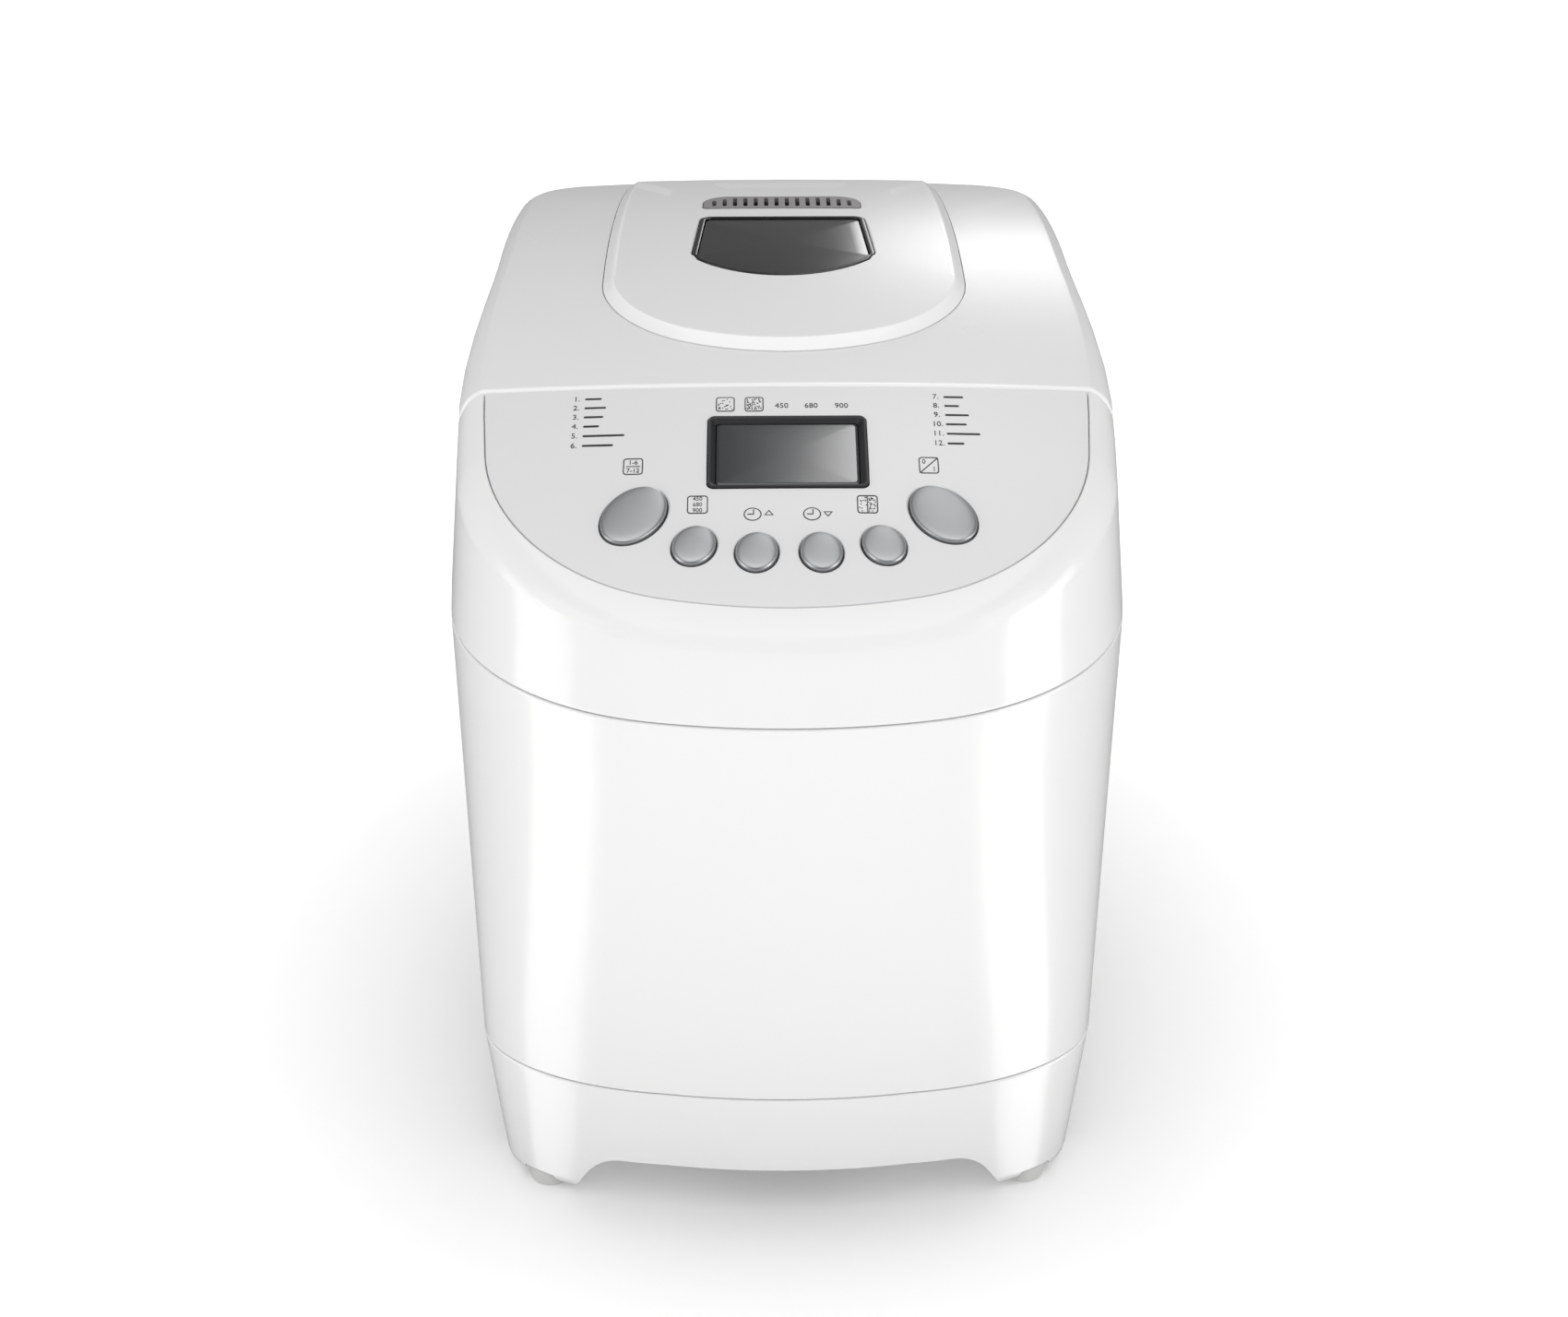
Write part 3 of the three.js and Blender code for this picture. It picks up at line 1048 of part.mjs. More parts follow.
function driveCoupling() {
  const plate = rod(0, PAN_Y, COUPLING_RADIUS, BEARING_TOP + 0.5, WING_BOTTOM - FIT_GAP);
  const lugs = wings(BEARING_TOP + 1, WING_TOP, 0);
  const middle = rod(0, PAN_Y, 7, WING_BOTTOM - FIT_GAP, WING_TOP + 5);
  const bore = rod(0, PAN_Y, SHAFT_RADIUS + FIT_GAP, BEARING_TOP - 1, WING_BOTTOM - 2);
  return cut(join(plate, lugs), middle, bore);
}

function bearingHousing() {
  const top = CHASSIS_BOTTOM + CHASSIS_THICKNESS + FIT_GAP;
  return turned(0, PAN_Y, [
    [SHAFT_RADIUS + FIT_GAP, CHASSIS_BOTTOM - 6], [BEARING_RADIUS, CHASSIS_BOTTOM - 6], [BEARING_RADIUS, top],
    [BEARING_RADIUS + 12, top], [BEARING_RADIUS + 12, top + 3], [BEARING_RADIUS, top + 3],
    [BEARING_RADIUS, BEARING_TOP], [SHAFT_RADIUS + FIT_GAP, BEARING_TOP], [SHAFT_RADIUS + FIT_GAP, CHASSIS_BOTTOM - 6],
  ]);
}

add('spindle_bush', spindleBush(), BUSH_WHITE);
add('pan_spindle', rod(0, PAN_Y, SPINDLE_RADIUS, WING_BOTTOM + 0.2, SPINDLE_TOP, 16), STEEL);
add('pan_coupling', panCoupling(), ALUMINIUM);
add('kneading_paddle', kneadingPaddle(), PAN_COATING);
add('drive_coupling', driveCoupling(), BUSH_WHITE);
add('drive_shaft', rod(0, PAN_Y, SHAFT_RADIUS, PULLEY_BOTTOM, WING_BOTTOM - 2.3, 20), STEEL);
add('bearing_housing', bearingHousing(), ALUMINIUM);

// ---------------------------------------------------------------- belt drive and motor

const PULLEY_TOP = PULLEY_BOTTOM + PULLEY_WIDTH;
const BELT_BOTTOM = PULLEY_BOTTOM + (PULLEY_WIDTH - BELT_WIDTH) / 2;

// A pulley with two flanges that keep the belt on its rim.
function pulley(y, radius, bore, webRadius, sides) {
  const low = BELT_BOTTOM - FIT_GAP;
  const high = BELT_BOTTOM + BELT_WIDTH + FIT_GAP;
  const flange = radius + BELT_THICKNESS;
  const wheel = turned(0, y, [
    [bore, PULLEY_BOTTOM], [flange, PULLEY_BOTTOM], [flange, low], [radius - FIT_GAP, low], [radius - FIT_GAP, high],
    [flange, high], [flange, PULLEY_TOP], [bore, PULLEY_TOP], [bore, PULLEY_BOTTOM],
  ], sides);
  const dish = ring(0, y, webRadius, radius - 5, PULLEY_BOTTOM + 4, PULLEY_TOP + 2, sides);
  return webRadius < radius - 6 ? cut(wheel, dish) : wheel;
}

// Belt outline: two arcs joined by the straight runs that touch both pulleys.
function beltShape(extra) {
  const near = SMALL_PULLEY_RADIUS + extra;
  const far = BIG_PULLEY_RADIUS + extra;
  const tangent = Math.asin((far - near) / (PAN_Y - MOTOR_Y));
  const shape = new THREE.Shape();
  shape.absarc(0, PAN_Y, far, -tangent, Math.PI + tangent);
  shape.absarc(0, MOTOR_Y, near, Math.PI + tangent, 2 * Math.PI - tangent);
  return shape;
}

const driveBelt = () => cut(slab(beltShape(BELT_THICKNESS), BELT_BOTTOM, BELT_BOTTOM + BELT_WIDTH, 12),
  slab(beltShape(0.05), BELT_BOTTOM - 1, BELT_BOTTOM + BELT_WIDTH + 1, 12));

const MOTOR_BOTTOM = CHASSIS_BOTTOM + CHASSIS_THICKNESS + FIT_GAP;
const CAP_HEIGHT = 6;
const STATOR_BOTTOM = MOTOR_BOTTOM + CAP_HEIGHT + FIT_GAP;
const STATOR_TOP = STATOR_BOTTOM + MOTOR_HEIGHT;
const MOTOR_SHAFT_RADIUS = 3;
const ROTOR_RADIUS = 18;

// End cap of the motor: a dish that holds a bearing, open towards the windings.
function motorCap(bottom, open) {
  const cap = ring(0, MOTOR_Y, MOTOR_SHAFT_RADIUS + FIT_GAP, MOTOR_RADIUS, bottom, bottom + CAP_HEIGHT);
  const dish = open > 0 ? [bottom + 3, bottom + CAP_HEIGHT + 1] : [bottom - 1, bottom + CAP_HEIGHT - 3];
  return cut(cap, ring(0, MOTOR_Y, 10, MOTOR_RADIUS - 3, ...dish));
}

function motorRotor() {
  const drumBottom = STATOR_BOTTOM + 4;
  const drumTop = STATOR_TOP - 4;
  return turned(0, MOTOR_Y, [
    [0, PULLEY_BOTTOM - 1], [MOTOR_SHAFT_RADIUS, PULLEY_BOTTOM - 1], [MOTOR_SHAFT_RADIUS, drumBottom],
    [ROTOR_RADIUS, drumBottom], [ROTOR_RADIUS, drumTop], [MOTOR_SHAFT_RADIUS, drumTop],
    [MOTOR_SHAFT_RADIUS, STATOR_TOP + CAP_HEIGHT + 4], [0, STATOR_TOP + CAP_HEIGHT + 4],
  ], 28);
}

function chassisPlate() {
  const front = MOTOR_Y - MOTOR_RADIUS + 8;
  const rear = POST_REAR_Y + 10;
  const plate = roundedSlab((front + rear) / 2, POST_X + 8, (rear - front) / 2, 22, CHASSIS_BOTTOM, CHASSIS_BOTTOM + CHASSIS_THICKNESS);
  return cut(plate,
    rod(0, PAN_Y, BEARING_RADIUS + 0.5, 0, 60),
    rod(0, MOTOR_Y, MOTOR_SHAFT_RADIUS + 4, 0, 60));
}

add('chassis_plate', chassisPlate(), STEEL);
add('drive_pulley', pulley(PAN_Y, BIG_PULLEY_RADIUS, SHAFT_RADIUS + FIT_GAP, 14, 40), BLACK_PLASTIC);
add('motor_pulley', pulley(MOTOR_Y, SMALL_PULLEY_RADIUS, MOTOR_SHAFT_RADIUS + FIT_GAP, SMALL_PULLEY_RADIUS, 20), STEEL);
add('drive_belt', driveBelt(), BELT_BLACK);
add('motor_lower_cap', motorCap(MOTOR_BOTTOM, 1), ALUMINIUM);
add('motor_stator', ring(0, MOTOR_Y, ROTOR_RADIUS + 0.8, MOTOR_RADIUS, STATOR_BOTTOM, STATOR_TOP, 28), COPPER_WINDING);
add('motor_upper_cap', motorCap(STATOR_TOP + FIT_GAP, -1), ALUMINIUM);
add('motor_rotor', motorRotor(), STEEL);

// ---------------------------------------------------------------- power electronics

const POWER_BOARD_BOTTOM = STATOR_TOP + CAP_HEIGHT + 22;
const POWER_BOARD_TOP = POWER_BOARD_BOTTOM + 82;
const POWER_BOARD_Y = CHAMBER_FRONT - SHEET - 12;

function powerBoard() {
  const board = block([-58, POWER_BOARD_Y - 1.6, POWER_BOARD_BOTTOM], [58, POWER_BOARD_Y, POWER_BOARD_TOP]);
  const transformer = block([12, POWER_BOARD_Y - 27, POWER_BOARD_BOTTOM + 12], [46, POWER_BOARD_Y - 1, POWER_BOARD_BOTTOM + 42]);
  const relay = block([16, POWER_BOARD_Y - 17, POWER_BOARD_BOTTOM + 52], [40, POWER_BOARD_Y - 1, POWER_BOARD_BOTTOM + 68]);
  return join(board, transformer, relay);
}

add('power_board', powerBoard(), BOARD_GREEN);
add('run_capacitor', rod(-30, POWER_BOARD_Y - 16.5, 14, POWER_BOARD_BOTTOM + 10, POWER_BOARD_BOTTOM + 60, 24), ALUMINIUM);

export default machine;
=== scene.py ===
# %% [markdown]
# # A household bread machine
#
# The machine is a tall box of glossy white plastic that leans outwards as it rises. On top is a
# sloping control panel and, behind it, a hinged lid with a window and a steam vent. Under the lid
# are the oven chamber, the bread pan and its paddle. The engineering model gives every piece its
# place and its motion. This script gives the pieces their finished shapes and their materials.
#
# The first cell loads that model, puts each part's placement into its mesh and keeps only the
# meshes.

# %% Load the machine
import math
import random

import bmesh
import bpy
from mathutils import Matrix, Vector


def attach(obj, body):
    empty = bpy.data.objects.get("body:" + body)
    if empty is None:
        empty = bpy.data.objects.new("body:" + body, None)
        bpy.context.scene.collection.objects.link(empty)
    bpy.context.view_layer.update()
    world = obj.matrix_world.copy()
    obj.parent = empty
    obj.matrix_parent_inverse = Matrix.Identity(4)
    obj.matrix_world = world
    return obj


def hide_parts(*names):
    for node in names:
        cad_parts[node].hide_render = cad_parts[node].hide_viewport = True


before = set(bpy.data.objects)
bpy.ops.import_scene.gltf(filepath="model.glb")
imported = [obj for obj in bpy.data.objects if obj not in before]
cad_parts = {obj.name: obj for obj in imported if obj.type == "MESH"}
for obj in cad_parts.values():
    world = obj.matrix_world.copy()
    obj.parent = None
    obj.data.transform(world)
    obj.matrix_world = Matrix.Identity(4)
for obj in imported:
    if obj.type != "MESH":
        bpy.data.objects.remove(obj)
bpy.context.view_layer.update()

# %% [markdown]
# ## Sizes
#
# All shapes below are worked out in millimetres, because that is how a plastic moulding is drawn.
# Each finished mesh is scaled to metres at the very end. The numbers are the same as those of the
# engineering model, so that a moving lid or button keeps its small gap to its neighbour.

# %% Sizes of the machine, in millimetres
WIDTH = 228.0
DEPTH = 350.0
CREST = 297.0
FRONT, REAR = -DEPTH / 2, DEPTH / 2
WALL = 2.5
UPPER_SEAM = CREST - 73.0
LOWER_SEAM = 58.0
DECK = CREST - 35.0
BEZEL_INSET = 12.5
BEZEL_DROP = 10.0
CREST_Y = 35.0
SEAM_Y = FRONT + 113.0
SEAM_HALF = 0.3
PANEL_INSET = 13.6
PANEL_THICKNESS = 2.2
SKIRT_INSET = 15.0
SHELF = 2.2
LOWEST_EDGE = DECK + 5.0
SKIRT_BOTTOM = DECK + 3.7
PAN_Y = 47.0
FAR = 400.0
LID_TAPER = 6.0
TAPER_END_Y = CREST_Y + 15
FRONT_RADIUS, SIDE_RADIUS, REAR_RADIUS = 198, 1400, 40
FRONT_DROP, REAR_DROP, CROSS_CROWN = 39.0, 16.2, 4800.0
SIDE_LEAN, FRONT_LEAN, REAR_LEAN = 2.6, 40.0, 6.0
SHOULDER_LEAN, SHOULDER_RISE = 5.0, 55.0
BASE_TUCK = 0.1
FIT = 0.3
MERGE = 1e-4
print("width", WIDTH, "depth", DEPTH, "crest", CREST)


# %% [markdown]
# ## The plan outline
#
# Seen from above, the body is drawn with arcs: a shallow one across the front, a wide one round
# each front corner, an almost straight one along each side and a tight one at each rear corner.
# Each point also keeps the direction that it faces. With that, moving the outline inwards by a
# wall's thickness is a single step along the facing direction, and the arcs stay true.

# %% Outline of the body from above
def half_outline():
    front_end, corner_end = math.radians(12.5), math.radians(84.8)
    rear_start, rear_end = math.radians(93.9), math.radians(170)
    corner = WIDTH / 2 - FRONT_RADIUS * math.sin(front_end)
    corner -= SIDE_RADIUS * (1 - math.sin(corner_end))
    corner /= math.sin(corner_end) - math.sin(front_end)
    points = [(0.0, FRONT, 0.0)]

    def arc(radius, start, end, steps):
        x, y, _ = points[-1]
        for step in range(1, steps + 1):
            facing = start + (end - start) * step / steps
            points.append((
                x + radius * (math.sin(facing) - math.sin(start)),
                y + radius * (math.cos(start) - math.cos(facing)),
                facing,
            ))

    arc(FRONT_RADIUS, 0, front_end, 7)
    arc(corner, front_end, corner_end, 26)
    arc(SIDE_RADIUS, corner_end, math.pi / 2, 6)
    widest = points[-1][1]
    arc(SIDE_RADIUS, math.pi / 2, rear_start, 7)
    arc(REAR_RADIUS, rear_start, rear_end, 16)
    arc(points[-1][0] / math.sin(rear_end), rear_end, math.pi, 6)
    stretch = (REAR - widest) / (points[-1][1] - widest)
    return [(x, widest + (y - widest) * stretch if y > widest else y, f) for x, y, f in points]


HALF = half_outline()
OUTLINE = HALF[:-1] + [(-x, y, -f) for x, y, f in reversed(HALF[1:])]
print("outline points:", len(OUTLINE))


# %% Heights and leans of the outer skin
def top_height(x, y):
    """Height of the crowned top: two arcs that meet at the crest, and a slight crown across."""
    if y < CREST_Y:
        drop = FRONT_DROP * ((y - CREST_Y) / (CREST_Y - FRONT - BEZEL_INSET)) ** 2
    else:
        drop = REAR_DROP * ((y - CREST_Y) / (REAR - BEZEL_INSET - CREST_Y)) ** 2
    return CREST - drop - x * x / CROSS_CROWN


def top_tilt(y):
    return math.atan(top_height(0, y + 0.5) - top_height(0, y - 0.5))


def crowned(offset):
    return lambda x, y: top_height(x, y) + offset


def height_at(height, x, y):
    """A height is given as a number or as a function of x and y."""
    return height(x, y) if callable(height) else height


def lean(z):
    """How far the wall stands in from the outline at a height: sides, front and rear."""
    below = max(0.0, (UPPER_SEAM - z) / (UPPER_SEAM - LOWER_SEAM))
    above = max(0.0, z - UPPER_SEAM) * SHOULDER_LEAN / SHOULDER_RISE
    tuck = max(0.0, LOWER_SEAM - z) * BASE_TUCK
    side, rear = SIDE_LEAN * below + above + tuck, REAR_LEAN * below + above + tuck
    return side, FRONT_LEAN * below + above, rear


def inward(point, across, along=None):
    """A point of an outline, moved in along the direction that it faces."""
    x, y, facing = point
    along = across if along is None else along
    return x - across * math.sin(facing), y + along * math.cos(facing)


def lid_taper(point):
    """Beside the lid the top closes in: nothing at the lid's seam, full from the crest on."""
    _, y, facing = point
    along = min(1.0, max(0.0, (y - SEAM_Y) / (TAPER_END_Y - SEAM_Y)))
    return LID_TAPER * abs(math.sin(facing)) * along * along * (3 - 2 * along)


def level(z, inset=0.0):
    """The wall's ring at one height."""
    side, front, rear = lean(z)
    ring = []
    for point in OUTLINE:
        along = front if math.cos(point[2]) > 0 else rear
        more = inset + lid_taper(point) * max(0.0, z - UPPER_SEAM) / SHOULDER_RISE
        ring.append((*inward(point, side + more, along + more), z))
    return ring


def inset_ring(inset, height, share=1.0):
    """The outline moved in by one amount; share says how much of the lid's taper it follows."""
    ring = [inward(point, inset + share * lid_taper(point)) for point in OUTLINE]
    return [(x, y, height_at(height, x, y)) for x, y in ring]


def edge_height(point, lowest):
    """Height of the crease between wall and bezel band, but never under the lowest."""
    crease = top_height(*inward(point, BEZEL_INSET + lid_taper(point))) - BEZEL_DROP
    return max(crease, lowest)


def edge_ring(inset, lift, lowest=0.0):
    """The crease where the wall ends and the bezel band begins."""
    ring = []
    for point in OUTLINE:
        z = edge_height(point, lowest)
        leaning = (z - UPPER_SEAM) * (SHOULDER_LEAN + lid_taper(point)) / SHOULDER_RISE
        ring.append((*inward(point, leaning + inset), z + lift))
    return ring


def shelf_ring(inset, lift, lowest):
    """A ring at the height of that crease, anywhere across the shoulder."""
    return [
        (*inward(point, inset + lid_taper(point)), edge_height(point, lowest) + lift)
        for point in OUTLINE
    ]


CROWN_STEPS = (0.97, 0.92, 0.85, 0.76, 0.66, 0.55, 0.44, 0.33, 0.22, 0.12, 0.04)


def closing_rings(rim, offset, centre=0.0, shares=CROWN_STEPS):
    """Rings that close a crowned surface towards a middle point on the centre line."""
    rings = []
    for k in shares:
        ring = [(x * k, centre + (y - centre) * k) for x, y, _ in rim]
        rings.append([(x, y, top_height(x, y) + offset) for x, y in ring])
    return rings


def crown_rings(inset, offset):
    return closing_rings(inset_ring(inset, 0.0), offset)


def bezel_rings(lift=0.0, lowest=0.0):
    """The shoulder band: from the crease over a full round to the edge of the top surface."""
    low = edge_ring(0.0, lift, lowest)
    high = inset_ring(BEZEL_INSET, crowned(0.0))
    rings = [low]
    for t in (0.12, 0.28, 0.46, 0.64, 0.82, 0.94):
        bulge = 1.5 * math.sin(math.pi * t)
        ring = []
        for a, b, (_, _, facing) in zip(low, high, OUTLINE):
            out = bulge * 0.75
            ring.append((
                a[0] + (b[0] - a[0]) * t + out * math.sin(facing),
                a[1] + (b[1] - a[1]) * t - out * math.cos(facing),
                a[2] + (b[2] - a[2]) * t + bulge * 0.66,
            ))
        rings.append(ring)
    return rings + [high]


print("top at the front edge:", round(top_height(0, FRONT + BEZEL_INSET), 1))

# %% [markdown]
# ## Skins from rings
#
# A moulded shell is a skin over a stack of rings. The first ring is laid down as vertices and
# edges; the extrude operator then makes the next band of faces, whose new vertices are moved to
# the next ring. A lathe would only give round shapes, and hand-written face lists are easy to get
# wrong, while this way always gives clean bands of four-sided faces. A skin is closed either by a
# face over each end, or by bringing the last ring back onto the first.


# %% Loft, join and carve
VERT, EDGE = bmesh.types.BMVert, bmesh.types.BMEdge


def of_kind(items, kind):
    return [item for item in items if isinstance(item, kind)]


def extrude_rim(bm, edges, old):
    """Extrudes a rim; returns each new vertex with the old one under it, and the new edges."""
    made = bmesh.ops.extrude_edge_only(bm, edges=edges)["geom"]
    below = {
        vert: next(e.other_vert(vert) for e in vert.link_edges if e.other_vert(vert) in old)
        for vert in of_kind(made, VERT)
    }
    fresh = set(below)
    return below, [edge for edge in of_kind(made, EDGE) if set(edge.verts) <= fresh]
def loft(rings, closed=False):
    """A skin over rings with equal numbers of points, as a bmesh."""
    bm = bmesh.new()
    ring = [bm.verts.new(point) for point in rings[0]]
    edges = [bm.edges.new((ring[i - 1], ring[i])) for i in range(len(ring))]
    first = list(edges)
    for points in rings[1:] + (rings[:1] if closed else []):
        order = {vert: index for index, vert in enumerate(ring)}
        below, edges = extrude_rim(bm, edges, order)
        ring = [None] * len(points)
        for vert, old in below.items():
            ring[order[old]] = vert
        for vert, point in zip(ring, points):
            vert.co = point
    if closed:
        bmesh.ops.remove_doubles(bm, verts=bm.verts, dist=1e-5)
    else:
        bmesh.ops.edgeloop_fill(bm, edges=first)
        bmesh.ops.edgeloop_fill(bm, edges=edges)
    bmesh.ops.recalc_face_normals(bm, faces=bm.faces)
    return bm


def add_to(bm, other):
    """Puts a second bmesh's shapes into the first."""
    scratch = bpy.data.meshes.new("scratch")
    other.to_mesh(scratch)
    other.free()
    bm.from_mesh(scratch)
    bpy.data.meshes.remove(scratch)
    return bm


HAIR = (0.0021, 0.0013, 0.0017)


def carve(bm, *tools, operation="DIFFERENCE"):
    """Cuts each tool out of a solid (or joins it on) and returns the result.

    Where two skins meet almost exactly, the cut can come out open. The tool is then moved by a
    few thousandths of a millimetre and the cut is made again.
    """
    for tool in tools:
        holders = []
        for item in (bm, tool):
            mesh = bpy.data.meshes.new("carving")
            bmesh.ops.recalc_face_normals(item, faces=item.faces)
            item.to_mesh(mesh)
            item.free()
            holder = bpy.data.objects.new("carving", mesh)
            bpy.context.scene.collection.objects.link(holder)
            holders.append(holder)
        target, cutter = holders
        step = target.modifiers.new("carve", "BOOLEAN")
        step.operation, step.solver, step.object = operation, "EXACT", cutter
        best = None
        for attempt in range(5):
            cutter.location = Vector(HAIR) * attempt * (-1) ** attempt
            bpy.context.view_layer.update()
            made = target.evaluated_get(bpy.context.evaluated_depsgraph_get())
            result = bpy.data.meshes.new_from_object(made)
            trial = bmesh.new()
            trial.from_mesh(result)
            bpy.data.meshes.remove(result)
            bmesh.ops.remove_doubles(trial, verts=trial.verts, dist=MERGE)
            open_edges = sum(1 for edge in trial.edges if not edge.is_manifold)
            if best is None or open_edges < best[0]:
                best = (open_edges, trial)
            if open_edges == 0:
                break
        bm = best[1]
        for holder in holders:
            mesh = holder.data
            bpy.data.objects.remove(holder)
            bpy.data.meshes.remove(mesh)
    return bm


def slice_y(bm, y, keep_rear=True):
    """Cuts a solid at a plane across Y, keeps one side and returns the open rim's edges."""
    cut = bmesh.ops.bisect_plane(
        bm, geom=bm.verts[:] + bm.edges[:] + bm.faces[:], dist=1e-5,
        plane_co=(0, y, 0), plane_no=(0, -1 if keep_rear else 1, 0), clear_outer=True,
    )
    return of_kind(cut["geom_cut"], EDGE)


def cut_off(bm, y, keep_rear=True):
    """Cuts a solid at a plane across Y, keeps one side and closes the cut."""
    bmesh.ops.edgeloop_fill(bm, edges=slice_y(bm, y, keep_rear))
    bmesh.ops.recalc_face_normals(bm, faces=bm.faces)
    return bm


def block(low, high):
    bm = bmesh.new()
    size = [h - l for l, h in zip(low, high)]
    middle = [(h + l) / 2 for l, h in zip(low, high)]
    place = Matrix.Translation(middle) @ Matrix.Diagonal((*size, 1.0))
    bmesh.ops.create_cube(bm, size=1.0, matrix=place)
    return bm


def bar(start, end, radius, sides=40):
    """A round bar between two points."""
    start, end = Vector(start), Vector(end)
    bm = bmesh.new()
    turn = (end - start).to_track_quat("Z", "Y").to_matrix().to_4x4()
    bmesh.ops.create_cone(
        bm, cap_ends=True, segments=sides, radius1=radius, radius2=radius,
        depth=(end - start).length, matrix=Matrix.Translation((start + end) / 2) @ turn,
    )
    return bm


def rounded_loop(half_x, half_y, radius, z, centre=(0.0, 0.0), steps=10):
    """Rounded rectangle as a ring; a radius equal to both halves gives a circle."""
    ring = []
    for quarter, (sx, sy) in enumerate(((1, 1), (-1, 1), (-1, -1), (1, -1))):
        for step in range(steps + 1):
            angle = (quarter + step / (steps + 0.001)) * math.pi / 2
            ring.append((
                centre[0] + sx * (half_x - radius) + radius * math.cos(angle),
                centre[1] + sy * (half_y - radius) + radius * math.sin(angle),
                z,
            ))
    return ring


def turned(profile, centre=(0.0, 0.0), sides=48):
    """A round piece: a closed profile of (radius, height) spun about an upright axis."""
    bm = bmesh.new()
    verts = [bm.verts.new((radius, 0.0, height)) for radius, height in profile]
    edges = [bm.edges.new((verts[i], verts[i + 1])) for i in range(len(verts) - 1)]
    bmesh.ops.spin(
        bm, geom=verts + edges, cent=(0, 0, 0), axis=(0, 0, 1),
        angle=math.tau, steps=sides, use_merge=True,
    )
    bmesh.ops.remove_doubles(bm, verts=bm.verts, dist=MERGE)
    bmesh.ops.translate(bm, vec=(*centre, 0.0), verts=bm.verts)
    bmesh.ops.recalc_face_normals(bm, faces=bm.faces)
    return bm


def onto_top(bm, x, y, rise=0.0):
    """Lays a shape drawn flat at the origin onto the sloping top."""
    tilt = Matrix.Rotation(top_tilt(y), 4, "X")
    place = Matrix.Translation((x, y, top_height(x, y) + rise)) @ tilt
    bmesh.ops.transform(bm, matrix=place, verts=bm.verts)
    return bm


piece_count = []


def piece(name, bm, material, body, stands_for=(), smooth=35.0, trim=None, in_trim=None):
    """Turns a finished bmesh in millimetres into a named piece in metres on a body.

    Faces for which in_trim says yes get the trim material instead of the main one.
    """
    if trim:
        for face in bm.faces:
            face.material_index = 1 if in_trim(face) else 0
    bmesh.ops.dissolve_degenerate(bm, dist=MERGE, edges=bm.edges)
    bmesh.ops.recalc_face_normals(bm, faces=bm.faces)
    bmesh.ops.scale(bm, vec=(0.001, 0.001, 0.001), verts=bm.verts)
    open_edges = sum(1 for edge in bm.edges if not edge.is_manifold)
    mesh = bpy.data.meshes.new(name)
    bm.to_mesh(mesh)
    bm.free()
    mesh.shade_smooth()
    mesh.set_sharp_from_angle(angle=math.radians(smooth))
    mesh.materials.append(material)
    if trim:
        mesh.materials.append(trim)
    made = bpy.data.objects.new(name, mesh)
    bpy.context.scene.collection.objects.link(made)
    even = made.modifiers.new("even_shading", "WEIGHTED_NORMAL")
    even.keep_sharp, even.weight = True, 80
    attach(made, body)
    if stands_for:
        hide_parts(*stands_for)
    piece_count.append(name)
    print(f"{name}: {len(mesh.polygons)} faces, {open_edges} open edges")
    return made


# %% [markdown]
# ## Surface effects shared by many finishes
#
# Moulded plastic is never perfectly even: its gloss changes a little from place to place, and its
# skin has a very fine orange-peel wave. Those effects are shader node groups with named inputs, so
# that each material can use them with its own strengths. A group only puts out patterns that vary
# over the surface; what is even all over is set on the shader itself.


# %% Node helpers
def new_group(name, inputs, outputs):
    group = bpy.data.node_groups.new(name, "ShaderNodeTree")
    for label, kind, value in inputs:
        made = group.interface.new_socket(name=label, in_out="INPUT", socket_type=kind)
        made.default_value = value
    for label, kind in outputs:
        group.interface.new_socket(name=label, in_out="OUTPUT", socket_type=kind)
    return group, group.nodes.new("NodeGroupInput"), group.nodes.new("NodeGroupOutput")


def math_node(tree, operation, first, second=None, clamp=False):
    node = tree.nodes.new("ShaderNodeMath")
    node.operation, node.use_clamp = operation, clamp
    for socket, value in zip(node.inputs, (first, second)):
        if value is None:
            continue
        if isinstance(value, (int, float)):
            socket.default_value = value
        else:
            tree.links.new(value, socket)
    return node.outputs[0]


def noise_node(tree, scale, detail=2.0, stretch=None):
    """Noise on the object's own coordinates; stretch squeezes it along an axis into lines."""
    coords = tree.nodes.new("ShaderNodeTexCoord").outputs["Object"]
    if stretch:
        mapping = tree.nodes.new("ShaderNodeMapping")
        mapping.inputs["Scale"].default_value = stretch
        tree.links.new(coords, mapping.inputs["Vector"])
        coords = mapping.outputs["Vector"]
    node = tree.nodes.new("ShaderNodeTexNoise")
    node.inputs["Detail"].default_value = detail
    tree.links.new(coords, node.inputs["Vector"])
    if isinstance(scale, (int, float)):
        node.inputs["Scale"].default_value = scale
    else:
        tree.links.new(scale, node.inputs["Scale"])
    return node.outputs[0]


def mix_colour(tree, factor, first, second, blend="MIX"):
    node = tree.nodes.new("ShaderNodeMix")
    node.data_type, node.blend_type = "RGBA", blend
    sockets = node.inputs[0], node.inputs[6], node.inputs[7]
    for socket, value in zip(sockets, (factor, first, second)):
        if isinstance(value, bpy.types.NodeSocket):
            tree.links.new(value, socket)
        else:
            socket.default_value = value
    return node.outputs[2]


def between(tree, share, low, high):
    """A value between low and high, as far along as the share says."""
    spread = math_node(tree, "SUBTRACT", high, low)
    return math_node(tree, "ADD", math_node(tree, "MULTIPLY", share, spread), low)


FLOAT, COLOUR = "NodeSocketFloat", "NodeSocketColor"


